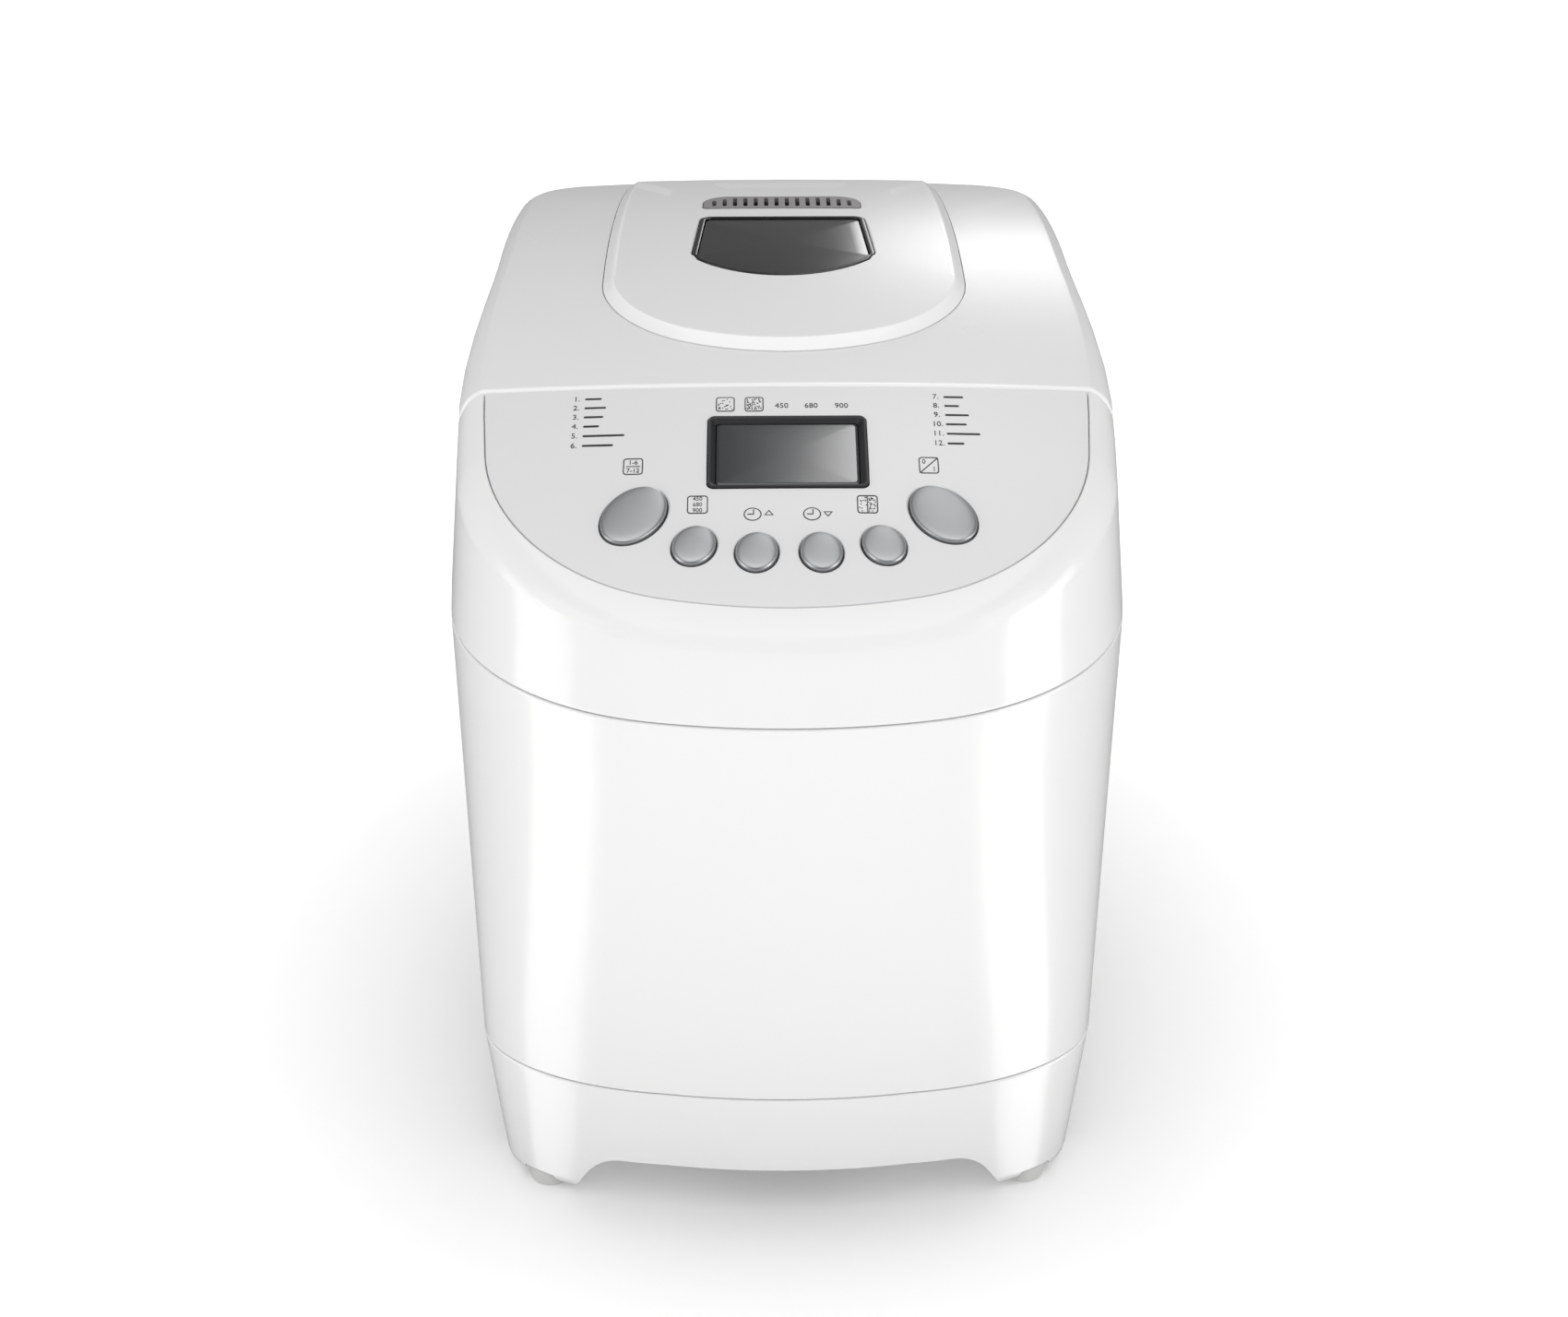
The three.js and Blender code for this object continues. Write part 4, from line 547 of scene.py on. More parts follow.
# %% Group: the skin of a moulding
def build_moulded_skin():
    group, given, result = new_group(
        "moulded_skin",
        [("Grain Scale", FLOAT, 900.0), ("Gloss Low", FLOAT, 0.2), ("Gloss High", FLOAT, 0.3),
         ("Wave", FLOAT, 0.3)],
        [("Roughness", FLOAT), ("Height", FLOAT)],
    )
    cloudy = noise_node(group, 14.0, 3.0)
    rough = between(group, cloudy, given.outputs["Gloss Low"], given.outputs["Gloss High"])
    group.links.new(rough, result.inputs["Roughness"])
    fine = noise_node(group, given.outputs["Grain Scale"], 2.0)
    peel = math_node(group, "MULTIPLY", noise_node(group, 160.0, 1.0), given.outputs["Wave"])
    group.links.new(math_node(group, "ADD", fine, peel), result.inputs["Height"])
    return group


MOULDED_SKIN = build_moulded_skin()


# %% Group: tone and settled dust
def build_lived_in():
    group, given, result = new_group(
        "lived_in",
        [("Colour", COLOUR, (0.8, 0.8, 0.8, 1)), ("Dust Colour", COLOUR, (0.6, 0.58, 0.54, 1)),
         ("Tone", FLOAT, 0.03), ("Dust", FLOAT, 0.05)],
        [("Colour", COLOUR), ("Mask", FLOAT)],
    )
    clouds = noise_node(group, 9.0, 4.0)
    swing = math_node(group, "SUBTRACT", clouds, 0.5)
    tone = math_node(group, "MULTIPLY", swing, given.outputs["Tone"])
    factor = math_node(group, "ADD", tone, 1.0)
    grey = group.nodes.new("ShaderNodeCombineXYZ")
    for socket in grey.inputs:
        group.links.new(factor, socket)
    toned = mix_colour(group, 1.0, given.outputs["Colour"], grey.outputs[0], "MULTIPLY")
    facing = group.nodes.new("ShaderNodeSeparateXYZ")
    group.links.new(group.nodes.new("ShaderNodeNewGeometry").outputs["Normal"], facing.inputs[0])
    upward = math_node(group, "MAXIMUM", facing.outputs["Z"], 0.0)
    flat = math_node(group, "POWER", upward, 3.0)
    settled = math_node(group, "MULTIPLY", flat, noise_node(group, 60.0, 6.0))
    mask = math_node(group, "MULTIPLY", settled, given.outputs["Dust"], clamp=True)
    group.links.new(mask, result.inputs["Mask"])
    dusted = mix_colour(group, mask, toned, given.outputs["Dust Colour"])
    group.links.new(dusted, result.inputs["Colour"])
    return group


LIVED_IN = build_lived_in()


# %% Group: drawn or brushed metal
def build_brushed():
    group, given, result = new_group(
        "brushed_metal",
        [("Line Scale", FLOAT, 60.0), ("Rough Low", FLOAT, 0.25), ("Rough High", FLOAT, 0.4)],
        [("Roughness", FLOAT), ("Height", FLOAT), ("Streak", FLOAT)],
    )
    lines = noise_node(group, given.outputs["Line Scale"], 4.0, stretch=(1.0, 24.0, 24.0))
    clouds = noise_node(group, 22.0, 3.0)
    both = math_node(group, "MULTIPLY", math_node(group, "ADD", lines, clouds), 0.5)
    rough = between(group, both, given.outputs["Rough Low"], given.outputs["Rough High"])
    group.links.new(rough, result.inputs["Roughness"])
    group.links.new(lines, result.inputs["Height"])
    group.links.new(both, result.inputs["Streak"])
    return group


BRUSHED = build_brushed()

# %% [markdown]
# ## The finishes
#
# Each finish is one Principled shader with the shared groups in front of it. Plastic gets the
# moulded skin and a trace of settled dust, metal gets drawn lines, and the coated pan gets the
# fine speckle of a sprayed non-stick coat. The bump stays tiny, a few thousandths of a
# millimetre, because a polished mould leaves nothing more.


# %% Material helpers
def new_material(name):
    material = bpy.data.materials.new(name)
    material.use_nodes = True
    shader = material.node_tree.nodes["Principled BSDF"]
    return material, material.node_tree, shader


def place_group(tree, group, **values):
    node = tree.nodes.new("ShaderNodeGroup")
    node.node_tree = group
    for label, value in values.items():
        node.inputs[label.replace("_", " ")].default_value = value
    return node


def bump(tree, shader, height, distance):
    node = tree.nodes.new("ShaderNodeBump")
    node.inputs["Strength"].default_value = 1.0
    node.inputs["Distance"].default_value = distance
    tree.links.new(height, node.inputs["Height"])
    tree.links.new(node.outputs["Normal"], shader.inputs["Normal"])


COAT_ROUGHNESS = 0.08
DUST_ROUGHENS = 0.4


def plastic(name, colour, gloss, dust=0.05, tone=0.03, wave=0.3,
            relief=0.000004, grain=900.0, coat=0.0):
    material, tree, shader = new_material(name)
    shade = place_group(tree, LIVED_IN, Colour=(*colour, 1), Tone=tone, Dust=dust)
    skin = place_group(
        tree, MOULDED_SKIN, Grain_Scale=grain, Gloss_Low=gloss[0], Gloss_High=gloss[1], Wave=wave)
    tree.links.new(shade.outputs["Colour"], shader.inputs["Base Color"])
    dulling = math_node(tree, "MULTIPLY", shade.outputs["Mask"], DUST_ROUGHENS)
    dulled = math_node(tree, "ADD", skin.outputs["Roughness"], dulling)
    tree.links.new(dulled, shader.inputs["Roughness"])
    shader.inputs["Coat Weight"].default_value = coat
    shader.inputs["Coat Roughness"].default_value = COAT_ROUGHNESS
    bump(tree, shader, skin.outputs["Height"], relief)
    return material


def metal(name, colour, rough, lines=60.0, streak=0.12, relief=0.000006, full=1.0):
    material, tree, shader = new_material(name)
    drawn = place_group(tree, BRUSHED, Line_Scale=lines, Rough_Low=rough[0], Rough_High=rough[1])
    dark = tuple(value * (1 - streak) for value in colour)
    tint = mix_colour(tree, drawn.outputs["Streak"], (*colour, 1), (*dark, 1))
    tree.links.new(tint, shader.inputs["Base Color"])
    tree.links.new(drawn.outputs["Roughness"], shader.inputs["Roughness"])
    shader.inputs["Metallic"].default_value = full
    bump(tree, shader, drawn.outputs["Height"], relief)
    return material


# %% Plastics
# A brighter white than the housing, put on the lid's rounded front lip and on the band round the
# raised panel: a painted highlight where those edges catch the light.
PAINTED_HIGHLIGHT_WHITE = plastic("painted_highlight_white", (0.94, 0.94, 0.94), (0.2, 0.28), dust=0.0, coat=0.2)
WHITE_GLOSS = plastic("white_gloss", (0.86, 0.86, 0.855), (0.16, 0.24), dust=0.03, coat=0.25)
# Panel: a greyer copy of the housing's white, partly its own tone and partly painted shade for its
# upward face, which gets less light.
PANEL_SATIN_SHADED = plastic("panel_satin_painted_shade", (0.77, 0.77, 0.775), (0.3, 0.38), dust=0.04,
                      relief=0.000008, grain=1400.0)
# Lid: a greyer copy of the white plastic, partly its own tone and partly painted shade for the
# upward faces, which get less light.
LID_SATIN_SHADED = plastic("lid_satin_painted_shade", (0.79, 0.79, 0.795), (0.24, 0.32), dust=0.05,
                    relief=0.000006, grain=1200.0)
VENT_GREY = plastic("vent_grey", (0.24, 0.23, 0.235), (0.35, 0.45), dust=0.08)
BLACK_MATT = plastic("black_matt", (0.02, 0.021, 0.023), (0.32, 0.45), dust=0.03,
                     relief=0.00001)
RUBBER = plastic("foot_rubber", (0.62, 0.62, 0.61), (0.6, 0.8), dust=0.1,
                 relief=0.00003, grain=700.0)
BELT = plastic("belt_rubber", (0.02, 0.02, 0.02), (0.55, 0.75), dust=0.1,
               relief=0.00002, grain=500.0)
BUSH = plastic("natural_nylon", (0.72, 0.69, 0.62), (0.35, 0.5), dust=0.02)
INK = plastic("printed_ink", (0.02, 0.021, 0.023), (0.4, 0.5), dust=0.0, relief=0.000002)
BOARD = plastic("solder_mask", (0.03, 0.16, 0.07), (0.25, 0.4), dust=0.1,
                relief=0.00001, grain=300.0)
print("plastics made")

# %% Metals
STEEL = metal("zinc_steel", (0.62, 0.63, 0.65), (0.28, 0.42))
CHAMBER_SHEET = metal("chamber_sheet", (0.66, 0.66, 0.66), (0.3, 0.46), lines=30.0, streak=0.2)
ALUMINIUM = metal("satin_aluminium", (0.74, 0.75, 0.77), (0.35, 0.5), lines=40.0)
DARK_TRIM = metal("dark_trim", (0.1, 0.1, 0.103), (0.2, 0.28), streak=0.1)
BUTTON_SILVER = metal("button_silver", (0.6, 0.61, 0.62), (0.38, 0.44), lines=120.0,
                      streak=0.05, relief=0.000002)
ELEMENT = metal("element_sheath", (0.16, 0.145, 0.135), (0.42, 0.6), lines=90.0, streak=0.4)
WINDING = metal("laminations", (0.34, 0.2, 0.11), (0.4, 0.6), lines=200.0, streak=0.4)
HANDLE_WIRE = metal("handle_wire", (0.66, 0.66, 0.67), (0.14, 0.24), lines=30.0, streak=0.08)
print("metals made")


# %% Coated pan: dark sprayed coat with a fine light speckle
def build_pan_coat():
    material, tree, shader = new_material("pan_coat")
    speckle = tree.nodes.new("ShaderNodeTexVoronoi")
    speckle.inputs["Scale"].default_value = 700.0
    tree.links.new(tree.nodes.new("ShaderNodeTexCoord").outputs["Object"], speckle.inputs["Vector"])
    spots = math_node(tree, "LESS_THAN", speckle.outputs["Distance"], 0.16)
    base = mix_colour(tree, spots, (0.042, 0.042, 0.045, 1), (0.16, 0.16, 0.165, 1))
    shade = place_group(tree, LIVED_IN, Tone=0.2, Dust=0.03)
    tree.links.new(base, shade.inputs["Colour"])
    tree.links.new(shade.outputs["Colour"], shader.inputs["Base Color"])
    skin = place_group(
        tree, MOULDED_SKIN, Grain_Scale=800.0, Gloss_Low=0.3, Gloss_High=0.42, Wave=0.5)
    tree.links.new(skin.outputs["Roughness"], shader.inputs["Roughness"])
    bump(tree, shader, skin.outputs["Height"], 0.00002)
    return material


PAN_COAT = build_pan_coat()


# %% Smoked window: dark, very smooth, with the faint film of a kitchen
def smoked(name, colour, rough, index):
    material, tree, shader = new_material(name)
    shade = place_group(tree, LIVED_IN, Colour=(*colour, 1), Tone=0.2, Dust=0.02)
    tree.links.new(shade.outputs["Colour"], shader.inputs["Base Color"])
    skin = place_group(
        tree, MOULDED_SKIN, Grain_Scale=300.0, Gloss_Low=rough[0], Gloss_High=rough[1], Wave=0.2)
    tree.links.new(skin.outputs["Roughness"], shader.inputs["Roughness"])
    shader.inputs["IOR"].default_value = index
    bump(tree, shader, skin.outputs["Height"], 0.000001)
    return material


SMOKED = smoked("smoked_window", (0.012, 0.012, 0.013), (0.17, 0.2), 1.9)
DISPLAY = smoked("display_window", (0.016, 0.021, 0.023), (0.14, 0.18), 2.0)
print("glass made")

# %% [markdown]
# ## Camera and light
#
# The machine stands on a pale floor that glows, faintly beside the machine and more strongly
# further out: painted light that makes the floor read white. Two soft boxes at the front corners
# and a wide one overhead light it. Four more lamps only show where they are mirrored: two tall
# strips give the bright bands that run down the rounded corners, and two cards behind the machine
# give the dark windows of the lid and of the display something to mirror.

# %% Camera
camera_data = bpy.data.cameras.new("camera")
camera_data.sensor_width = 36.0
camera_data.lens = 66.5
camera_data.clip_end = 100.0
camera = bpy.data.objects.new("camera", camera_data)
camera.location = (-0.0098, -0.9275, 0.6484)
camera.rotation_euler = (math.radians(62.0), 0.0, math.radians(-0.6))
bpy.context.scene.collection.objects.link(camera)
bpy.context.scene.camera = camera
print("camera lens", camera_data.lens)


# %% Lights
def soft_box(name, place, aim, size, radiance, mirror_only=False):
    """A rectangular lamp; one for mirroring only shows in glossy surfaces and lights nothing."""
    data = bpy.data.lights.new(name, "AREA")
    data.shape, data.size, data.size_y = "RECTANGLE", size[0], size[1]
    data.energy = radiance * math.pi * size[0] * size[1]
    light = bpy.data.objects.new(name, data)
    light.location = place
    light.rotation_euler = (Vector(aim) - Vector(place)).to_track_quat("-Z", "Y").to_euler()
    light.visible_camera = False
    light.visible_diffuse = not mirror_only
    bpy.context.scene.collection.objects.link(light)
    return light


soft_box("left_box", (-1.35, -0.95, 0.6), (0, 0, 0.15), (0.8, 1.3), 0.62)
soft_box("right_box", (1.35, -0.95, 0.6), (0, 0, 0.15), (0.8, 1.3), 0.78)
soft_box("overhead_box", (0.0, -0.55, 1.6), (0.0, -0.55, 0), (1.6, 1.7), 0.95)
soft_box("left_strip", (-1.1, -0.42, -0.6), (0, -0.42, -0.6), (0.62, 2.4), 1.9, mirror_only=True)
soft_box("right_strip", (1.1, -0.42, -0.6), (0, -0.42, -0.6), (0.62, 2.4), 2.3, mirror_only=True)
soft_box("window_card", (0.36, 2.0, 1.02), (0.0, 0.045, 0.3), (0.4, 0.55), 4.2, mirror_only=True)
soft_box("display_card", (0.17, 0.86, 1.6), (0.0, -0.096, 0.27), (0.24, 0.3), 4.2, mirror_only=True)


# %% Surroundings: bright for the light they give, darker where they are mirrored
def build_world():
    world = bpy.data.worlds.new("studio")
    bpy.context.scene.world = world
    world.use_nodes = True
    nodes, links = world.node_tree.nodes, world.node_tree.links
    sky = nodes["Background"]
    sky.inputs["Color"].default_value = (1.0, 1.0, 1.0, 1)
    path = nodes.new("ShaderNodeLightPath")
    level_node = nodes.new("ShaderNodeMapRange")
    level_node.inputs["To Min"].default_value = 0.62
    level_node.inputs["To Max"].default_value = 0.22
    links.new(path.outputs["Is Glossy Ray"], level_node.inputs["Value"])
    links.new(level_node.outputs[0], sky.inputs["Strength"])


build_world()
scene = bpy.context.scene
scene.view_settings.view_transform = "Standard"
scene.view_settings.look = "None"
print("lights placed")


# %% Floor
def build_floor():
    bm = bmesh.new()
    bmesh.ops.create_grid(bm, x_segments=40, y_segments=40, size=30.0)
    mesh = bpy.data.meshes.new("floor")
    bm.to_mesh(mesh)
    bm.free()
    material, tree, shader = new_material("glowing_floor_paper")
    shade = place_group(tree, LIVED_IN, Colour=(0.9, 0.9, 0.9, 1), Tone=0.01, Dust=0.0)
    tree.links.new(shade.outputs["Colour"], shader.inputs["Base Color"])
    shader.inputs["Roughness"].default_value = 0.75
    # The floor glows, weakly beside the machine and strongly from about 0.4 m out: painted light
    # that makes the far floor read white and throws extra light onto the lower walls.
    shader.inputs["Emission Color"].default_value = (1, 1, 1, 1)
    distance = tree.nodes.new("ShaderNodeVectorMath")
    distance.operation = "LENGTH"
    tree.links.new(tree.nodes.new("ShaderNodeTexCoord").outputs["Object"], distance.inputs[0])
    floor_glow = tree.nodes.new("ShaderNodeMapRange")
    for label, value in (("From Min", 0.1), ("From Max", 0.42), ("To Min", 0.08), ("To Max", 0.6)):
        floor_glow.inputs[label].default_value = value
    tree.links.new(distance.outputs["Value"], floor_glow.inputs["Value"])
    tree.links.new(floor_glow.outputs[0], shader.inputs["Emission Strength"])
    mesh.materials.append(material)
    floor = bpy.data.objects.new("floor", mesh)
    bpy.context.scene.collection.objects.link(floor)
    floor.visible_glossy = False


build_floor()

# %% [markdown]
# ## The body wall
#
# The middle of the machine is one leaning wall. Its two edges are rounded, because a moulding
# never has a knife edge, and the dark hairline seam above and below comes from those two
# roundings and the gap between them. The wall is a closed ring: out, up, over and down inside.


# %% Body wall
def wall_profile(low, high, round_low=0.9, round_high=0.9):
    """Rings of a leaning wall with rounded edges, from its inside bottom to its inside top."""
    rings = [level(low, WALL), level(low, round_low)]
    corner = ((0.13, 0.5), (0.5, 0.13), (1.0, 0.0))
    rings += [level(low + round_low * a, round_low * b) for a, b in corner]
    steps = 6
    rings += [level(low + (high - low) * k / steps) for k in range(1, steps)]
    rings += [level(high - round_high * a, round_high * b) for a, b in reversed(corner)]
    return rings + [level(high, round_high), level(high, WALL)]


GLAND = (45.0, LOWER_SEAM + 24.0)
body = loft(wall_profile(LOWER_SEAM + 0.2, UPPER_SEAM - 0.2), closed=True)
body = carve(body, bar((GLAND[0], REAR - 30, GLAND[1]), (GLAND[0], REAR + 5, GLAND[1]), 6.8))
piece("body_wall", body, WHITE_GLOSS, "housing", ["body_shell"])

# %% [markdown]
# ## The base
#
# The base carries the wall down to four legs. A tall arch runs under it from front to back and a
# lower one from side to side, so that air can reach the slots under the motor. It starts as a
# solid between rings, and the hollow, the arches and the slots are carved out of it.


# %% Base
def arch_tool():
    """The front-to-back arch as a long bar with the arch's outline."""
    half, flare, height = 62.0, 17.0, 21.7
    side = []
    for step in range(13):
        t = step / 12
        p = ((half + flare, -1.0), (half + flare - 7, 4.0),
             (half + flare - 8, height - 1), (half - 4, height))
        w = ((1 - t) ** 3, 3 * t * (1 - t) ** 2, 3 * t * t * (1 - t), t ** 3)
        side.append(tuple(sum(k * q[axis] for k, q in zip(w, p)) for axis in (0, 1)))
    outline = side + [(-x, z) for x, z in reversed(side)]
    return loft([[(x, -FAR, z) for x, z in outline], [(x, FAR, z) for x, z in outline]])


def build_base():
    top = LOWER_SEAM - 0.2
    outer = [level(2.0, 4.2), level(2.3, 2.8), level(3.2, 1.3), level(5.0, 0.3), level(7.0)]
    outer += [level(z) for z in (20.0, 35.0, 48.0)]
    outer += [level(top - 0.9), level(top - 0.45, 0.12), level(top - 0.1, 0.45), level(top, 0.9)]
    base = loft(outer)
    hollow = loft([level(24.8, WALL), level(40.0, WALL), level(LOWER_SEAM + 3, WALL)])
    side_arch = block((-FAR, FRONT + 96, -1), (FAR, REAR - 66, 12))
    slots = [block((-26, -119 + row * 9, 0), (26, -116 + row * 9, 26)) for row in range(7)]
    feet = [bar((x, y, -1), (x, y, 6.3), 9.3) for x, y in FEET]
    return carve(base, hollow, arch_tool(), side_arch, *slots, *feet)


FEET = [(-84.0, -99.0), (84.0, -99.0), (-84.0, 141.0), (84.0, 141.0)]
piece("base_legs", build_base(), WHITE_GLOSS, "housing", ["base_shell"])

# %% Rubber feet
FOOT_PROFILE = [
    (0, 0.4), (5.4, 0.4), (5.7, 0.0), (6.8, 0.0), (7.4, 0.5), (7.6, 1.3), (7.6, 5.6),
    (7.2, 6.0), (0, 6.0),
]
for number, place in enumerate(FEET, 1):
    foot = turned(FOOT_PROFILE, place)
    piece(f"rubber_foot_{number}", foot, RUBBER, "housing", [f"foot_pad_{number}"])

# %% [markdown]
# ## The upper housing
#
# Above the upper seam the housing carries everything: the bezel round the control panel, the rim
# that the lid drops into, the deck round the oven and half of each hinge. It is a solid under the
# full outer skin first. Then the lid's space, the hollow inside and the panel's bed are carved
# away, which leaves walls of even thickness with exact gaps to the lid.


# %% Hinge sizes
HINGE_Y = REAR - 3.8
HINGE_Z = top_height(0, REAR - BEZEL_INSET) - BEZEL_DROP
HINGE_X = 36.0
KNUCKLE = 3.6
PIN_HOLE = 1.8


def knuckle_bars(start, end, radius):
    return [
        bar((x + start, HINGE_Y, HINGE_Z), (x + end, HINGE_Y, HINGE_Z), radius)
        for x in (-HINGE_X, HINGE_X)
    ]


# %% Skin and cutting tools of the housing
def skin_rings(low_edge):
    rings = low_edge + [level(z) for z in (228.0, 236.0, 243.0)]
    return rings + bezel_rings() + crown_rings(BEZEL_INSET, 0.0)


def lid_space():
    inset, lift = SKIRT_INSET - 0.4, -0.2
    space = loft([
        inset_ring(inset, DECK + lift),
        shelf_ring(inset, lift, LOWEST_EDGE),
        shelf_ring(-6.0, lift, LOWEST_EDGE),
        inset_ring(-6.0, FAR),
    ])
    return cut_off(space, SEAM_Y - SEAM_HALF)


def hollow_front():
    low = edge_ring(WALL, -2.0)
    high = inset_ring(BEZEL_INSET + 1.0, crowned(-5.0))
    lowest = inset_ring(WALL, UPPER_SEAM - 5, 0.0)
    space = loft([lowest, low, high] + crown_rings(BEZEL_INSET + 1.0, -5.0))
    return cut_off(space, SEAM_Y - SEAM_HALF - WALL, keep_rear=False)


def hollow_rear():
    rim = SKIRT_INSET - 0.4 - SHELF
    under, drop = DECK - 2.2, -0.2 - SHELF
    space = loft([
        inset_ring(WALL, UPPER_SEAM - 5, 0.0),
        edge_ring(WALL, drop, LOWEST_EDGE),
        shelf_ring(rim, drop, LOWEST_EDGE),
        inset_ring(rim, under),
    ])
    return cut_off(space, SEAM_Y - SEAM_HALF)


def hollow_link():
    """Joins the two hollows under the cross wall."""
    low = inset_ring(WALL + 1, UPPER_SEAM - 5, 0.0)
    space = loft([low, inset_ring(WALL + 3.2, DECK - 2.2)])
    return cut_off(cut_off(space, SEAM_Y - 12), SEAM_Y + 12, keep_rear=False)


def panel_bed():
    inset, bottom = PANEL_INSET - FIT, -PANEL_THICKNESS - 0.3
    rings = list(reversed(crown_rings(inset, bottom)))
    rings += [inset_ring(inset, crowned(bottom)), inset_ring(inset, crowned(-0.5))]
    rings += [inset_ring(inset - 0.35, crowned(-0.1)), inset_ring(inset - 0.8, crowned(8.0))]
    space = loft(rings + crown_rings(inset - 0.8, 8.0))
    return cut_off(space, SEAM_Y, keep_rear=False)


# %% [markdown]
# ## Buttons and display: where they sit
#
# Six oval buttons lie on an arc in front of the display. Each oval points at one spot on the
# centre line behind it, which is what makes the row look like a fan. The same numbers place the
# holes in the panel and the caps in the holes.

# %% Buttons: name, x, distance from the front, half length, half width
BUTTONS = [
    ("menu_button", -47.4, 50.4, 13.4, 9.1),
    ("loaf_size_button", -28.8, 37.4, 8.3, 6.5),
    ("timer_up_button", -9.8, 34.6, 8.1, 6.4),
    ("timer_down_button", 9.8, 34.6, 8.1, 6.4),
    ("crust_button", 28.8, 37.4, 8.3, 6.5),
    ("start_stop_button", 47.4, 50.4, 13.4, 9.1),
]
FOCUS_Y = FRONT + 142.0
DISPLAY_Y = FRONT + 79.0
DISPLAY_HALF = (25.0, 17.75)


def oval_rings(half_length, half_width, turn, profile, sides=56):
    """Rings of an oval piece: profile gives (share of the size, extra size, height)."""
    rings = []
    for share, extra, height in profile:
        ring = []
        for step in range(sides):
            angle = math.tau * step / sides
            u = (half_width * share + extra) * math.cos(angle)
            v = (half_length * share + extra) * math.sin(angle)
            across = u * math.cos(turn) + v * math.sin(turn)
            ring.append((across, v * math.cos(turn) - u * math.sin(turn), height))
        rings.append(ring)
    return rings


def on_fan(numbers, profile):
    """An oval piece at a button's place, turned to point at the fan's focus."""
    x, from_front, half_length, half_width = numbers
    y = FRONT + from_front
    rings = oval_rings(half_length, half_width, math.atan2(-x, FOCUS_Y - y), profile)
    return onto_top(loft(rings), x, y)


HOLE_PROFILE = ((1, 0.5, -9), (1, 0.5, -0.45), (1, 0.62, -0.2), (1, 0.95, 0.05), (1, 3.0, 2.1))


def button_holes():
    return [on_fan(numbers, HOLE_PROFILE) for _, *numbers in BUTTONS]


def display_hole():
    rings = [
        rounded_loop(DISPLAY_HALF[0] + extra, DISPLAY_HALF[1] + extra, 2.0 + extra, height)
        for extra, height in ((0.3, -12), (0.3, -0.3), (0.55, 0.05), (2.6, 2.1))
    ]
    return onto_top(loft(rings), 0, DISPLAY_Y)


print("buttons:", len(BUTTONS))


# %% Upper housing
def build_housing():
    low = UPPER_SEAM + 0.2
    low_edge = [level(low, 0.9), level(low + 0.1, 0.45), level(low + 0.45, 0.12), level(low + 0.9)]
    shell = loft(skin_rings(low_edge))
    well = loft([rounded_loop(88.7, 95.7, 26.2, z, (0, PAN_Y)) for z in (DECK - 20, DECK + 20)])
    spaces = hollow_front(), hollow_rear(), hollow_link(), well, panel_bed(), lid_space()
    shell = carve(shell, *spaces)
    outer = knuckle_bars(-15, -7.1, KNUCKLE) + knuckle_bars(7.1, 15, KNUCKLE)
    webs = [
        block((x - 3.9, HINGE_Y - 4, HINGE_Z - 9), (x + 3.9, HINGE_Y + 1, HINGE_Z - 1))
        for x in (side * HINGE_X + end * 11.05 for side in (-1, 1) for end in (-1, 1))
    ]
    shell = carve(shell, *outer, *webs, operation="UNION")
    gaps = knuckle_bars(-7.1, 7.1, KNUCKLE + 0.5) + knuckle_bars(-17, 17, PIN_HOLE)
    shell = carve(shell, *gaps)
    return carve(shell, display_hole(), *button_holes())


piece("housing_shell", build_housing(), WHITE_GLOSS, "housing",
      ["upper_housing"], smooth=32)

# %% [markdown]
# ## The control panel
#
# The panel is a thin crowned plate in its bed, greyer than the housing: partly its own tone,
# partly painted shade for its upward face, which gets less light. Its rim is rounded like the
# rest, and each hole has a small chamfer, which gives the thin bright ring round a button before
# the dark gap.


# %% Control panel
def build_panel():
    t = PANEL_THICKNESS
    rings = list(reversed(crown_rings(PANEL_INSET, -t)))
    rings += [inset_ring(PANEL_INSET + extra, crowned(height)) for extra, height in (
        (0.0, -t), (0.0, -0.5), (0.1, -0.18), (0.45, 0.0))]
    plate = loft(rings + crown_rings(PANEL_INSET + 0.45, 0.0))
    plate = cut_off(plate, SEAM_Y - SEAM_HALF, keep_rear=False)
    return carve(plate, display_hole(), *button_holes())


piece("panel_plate", build_panel(), PANEL_SATIN_SHADED, "housing",
      ["control_panel"], smooth=32)

# %% Button caps
CAP_PROFILE = [
    (1, 1.6, -6.7), (1, 1.6, -5.5), (1, 0, -5.5), (1, 0, 0.35), (1, -0.12, 0.75), (1, -0.45, 1.05),
    (0.9, 0, 1.3), (0.75, 0, 1.48), (0.55, 0, 1.6), (0.35, 0, 1.67), (0.15, 0, 1.7), (0.03, 0, 1.7),
]
for name, *numbers in BUTTONS:
    cap = on_fan(numbers, CAP_PROFILE)
    made_name = name.replace("_button", "_cap")
    piece(made_name, cap, BUTTON_SILVER, name, [name], smooth=50)


# %% [markdown]
# ## The display
#
# A black frame sinks into the panel and its inner walls slope down to a dark window. The window
# is polished, so its look comes almost wholly from what it mirrors.


# %% Display frame and window
def build_display_frame():
    hx, hy = DISPLAY_HALF
    steps = ((0, -5.4), (0, 0.1), (0.15, 0.32), (0.5, 0.4), (0.9, 0.3), (1.2, 0.0),
             (2.4, -1.2), (2.4, -5.4))
    rings = [rounded_loop(hx - i, hy - i, max(0.5, 2.2 - i * 0.4), z) for i, z in steps]
    return loft(rings, closed=True)


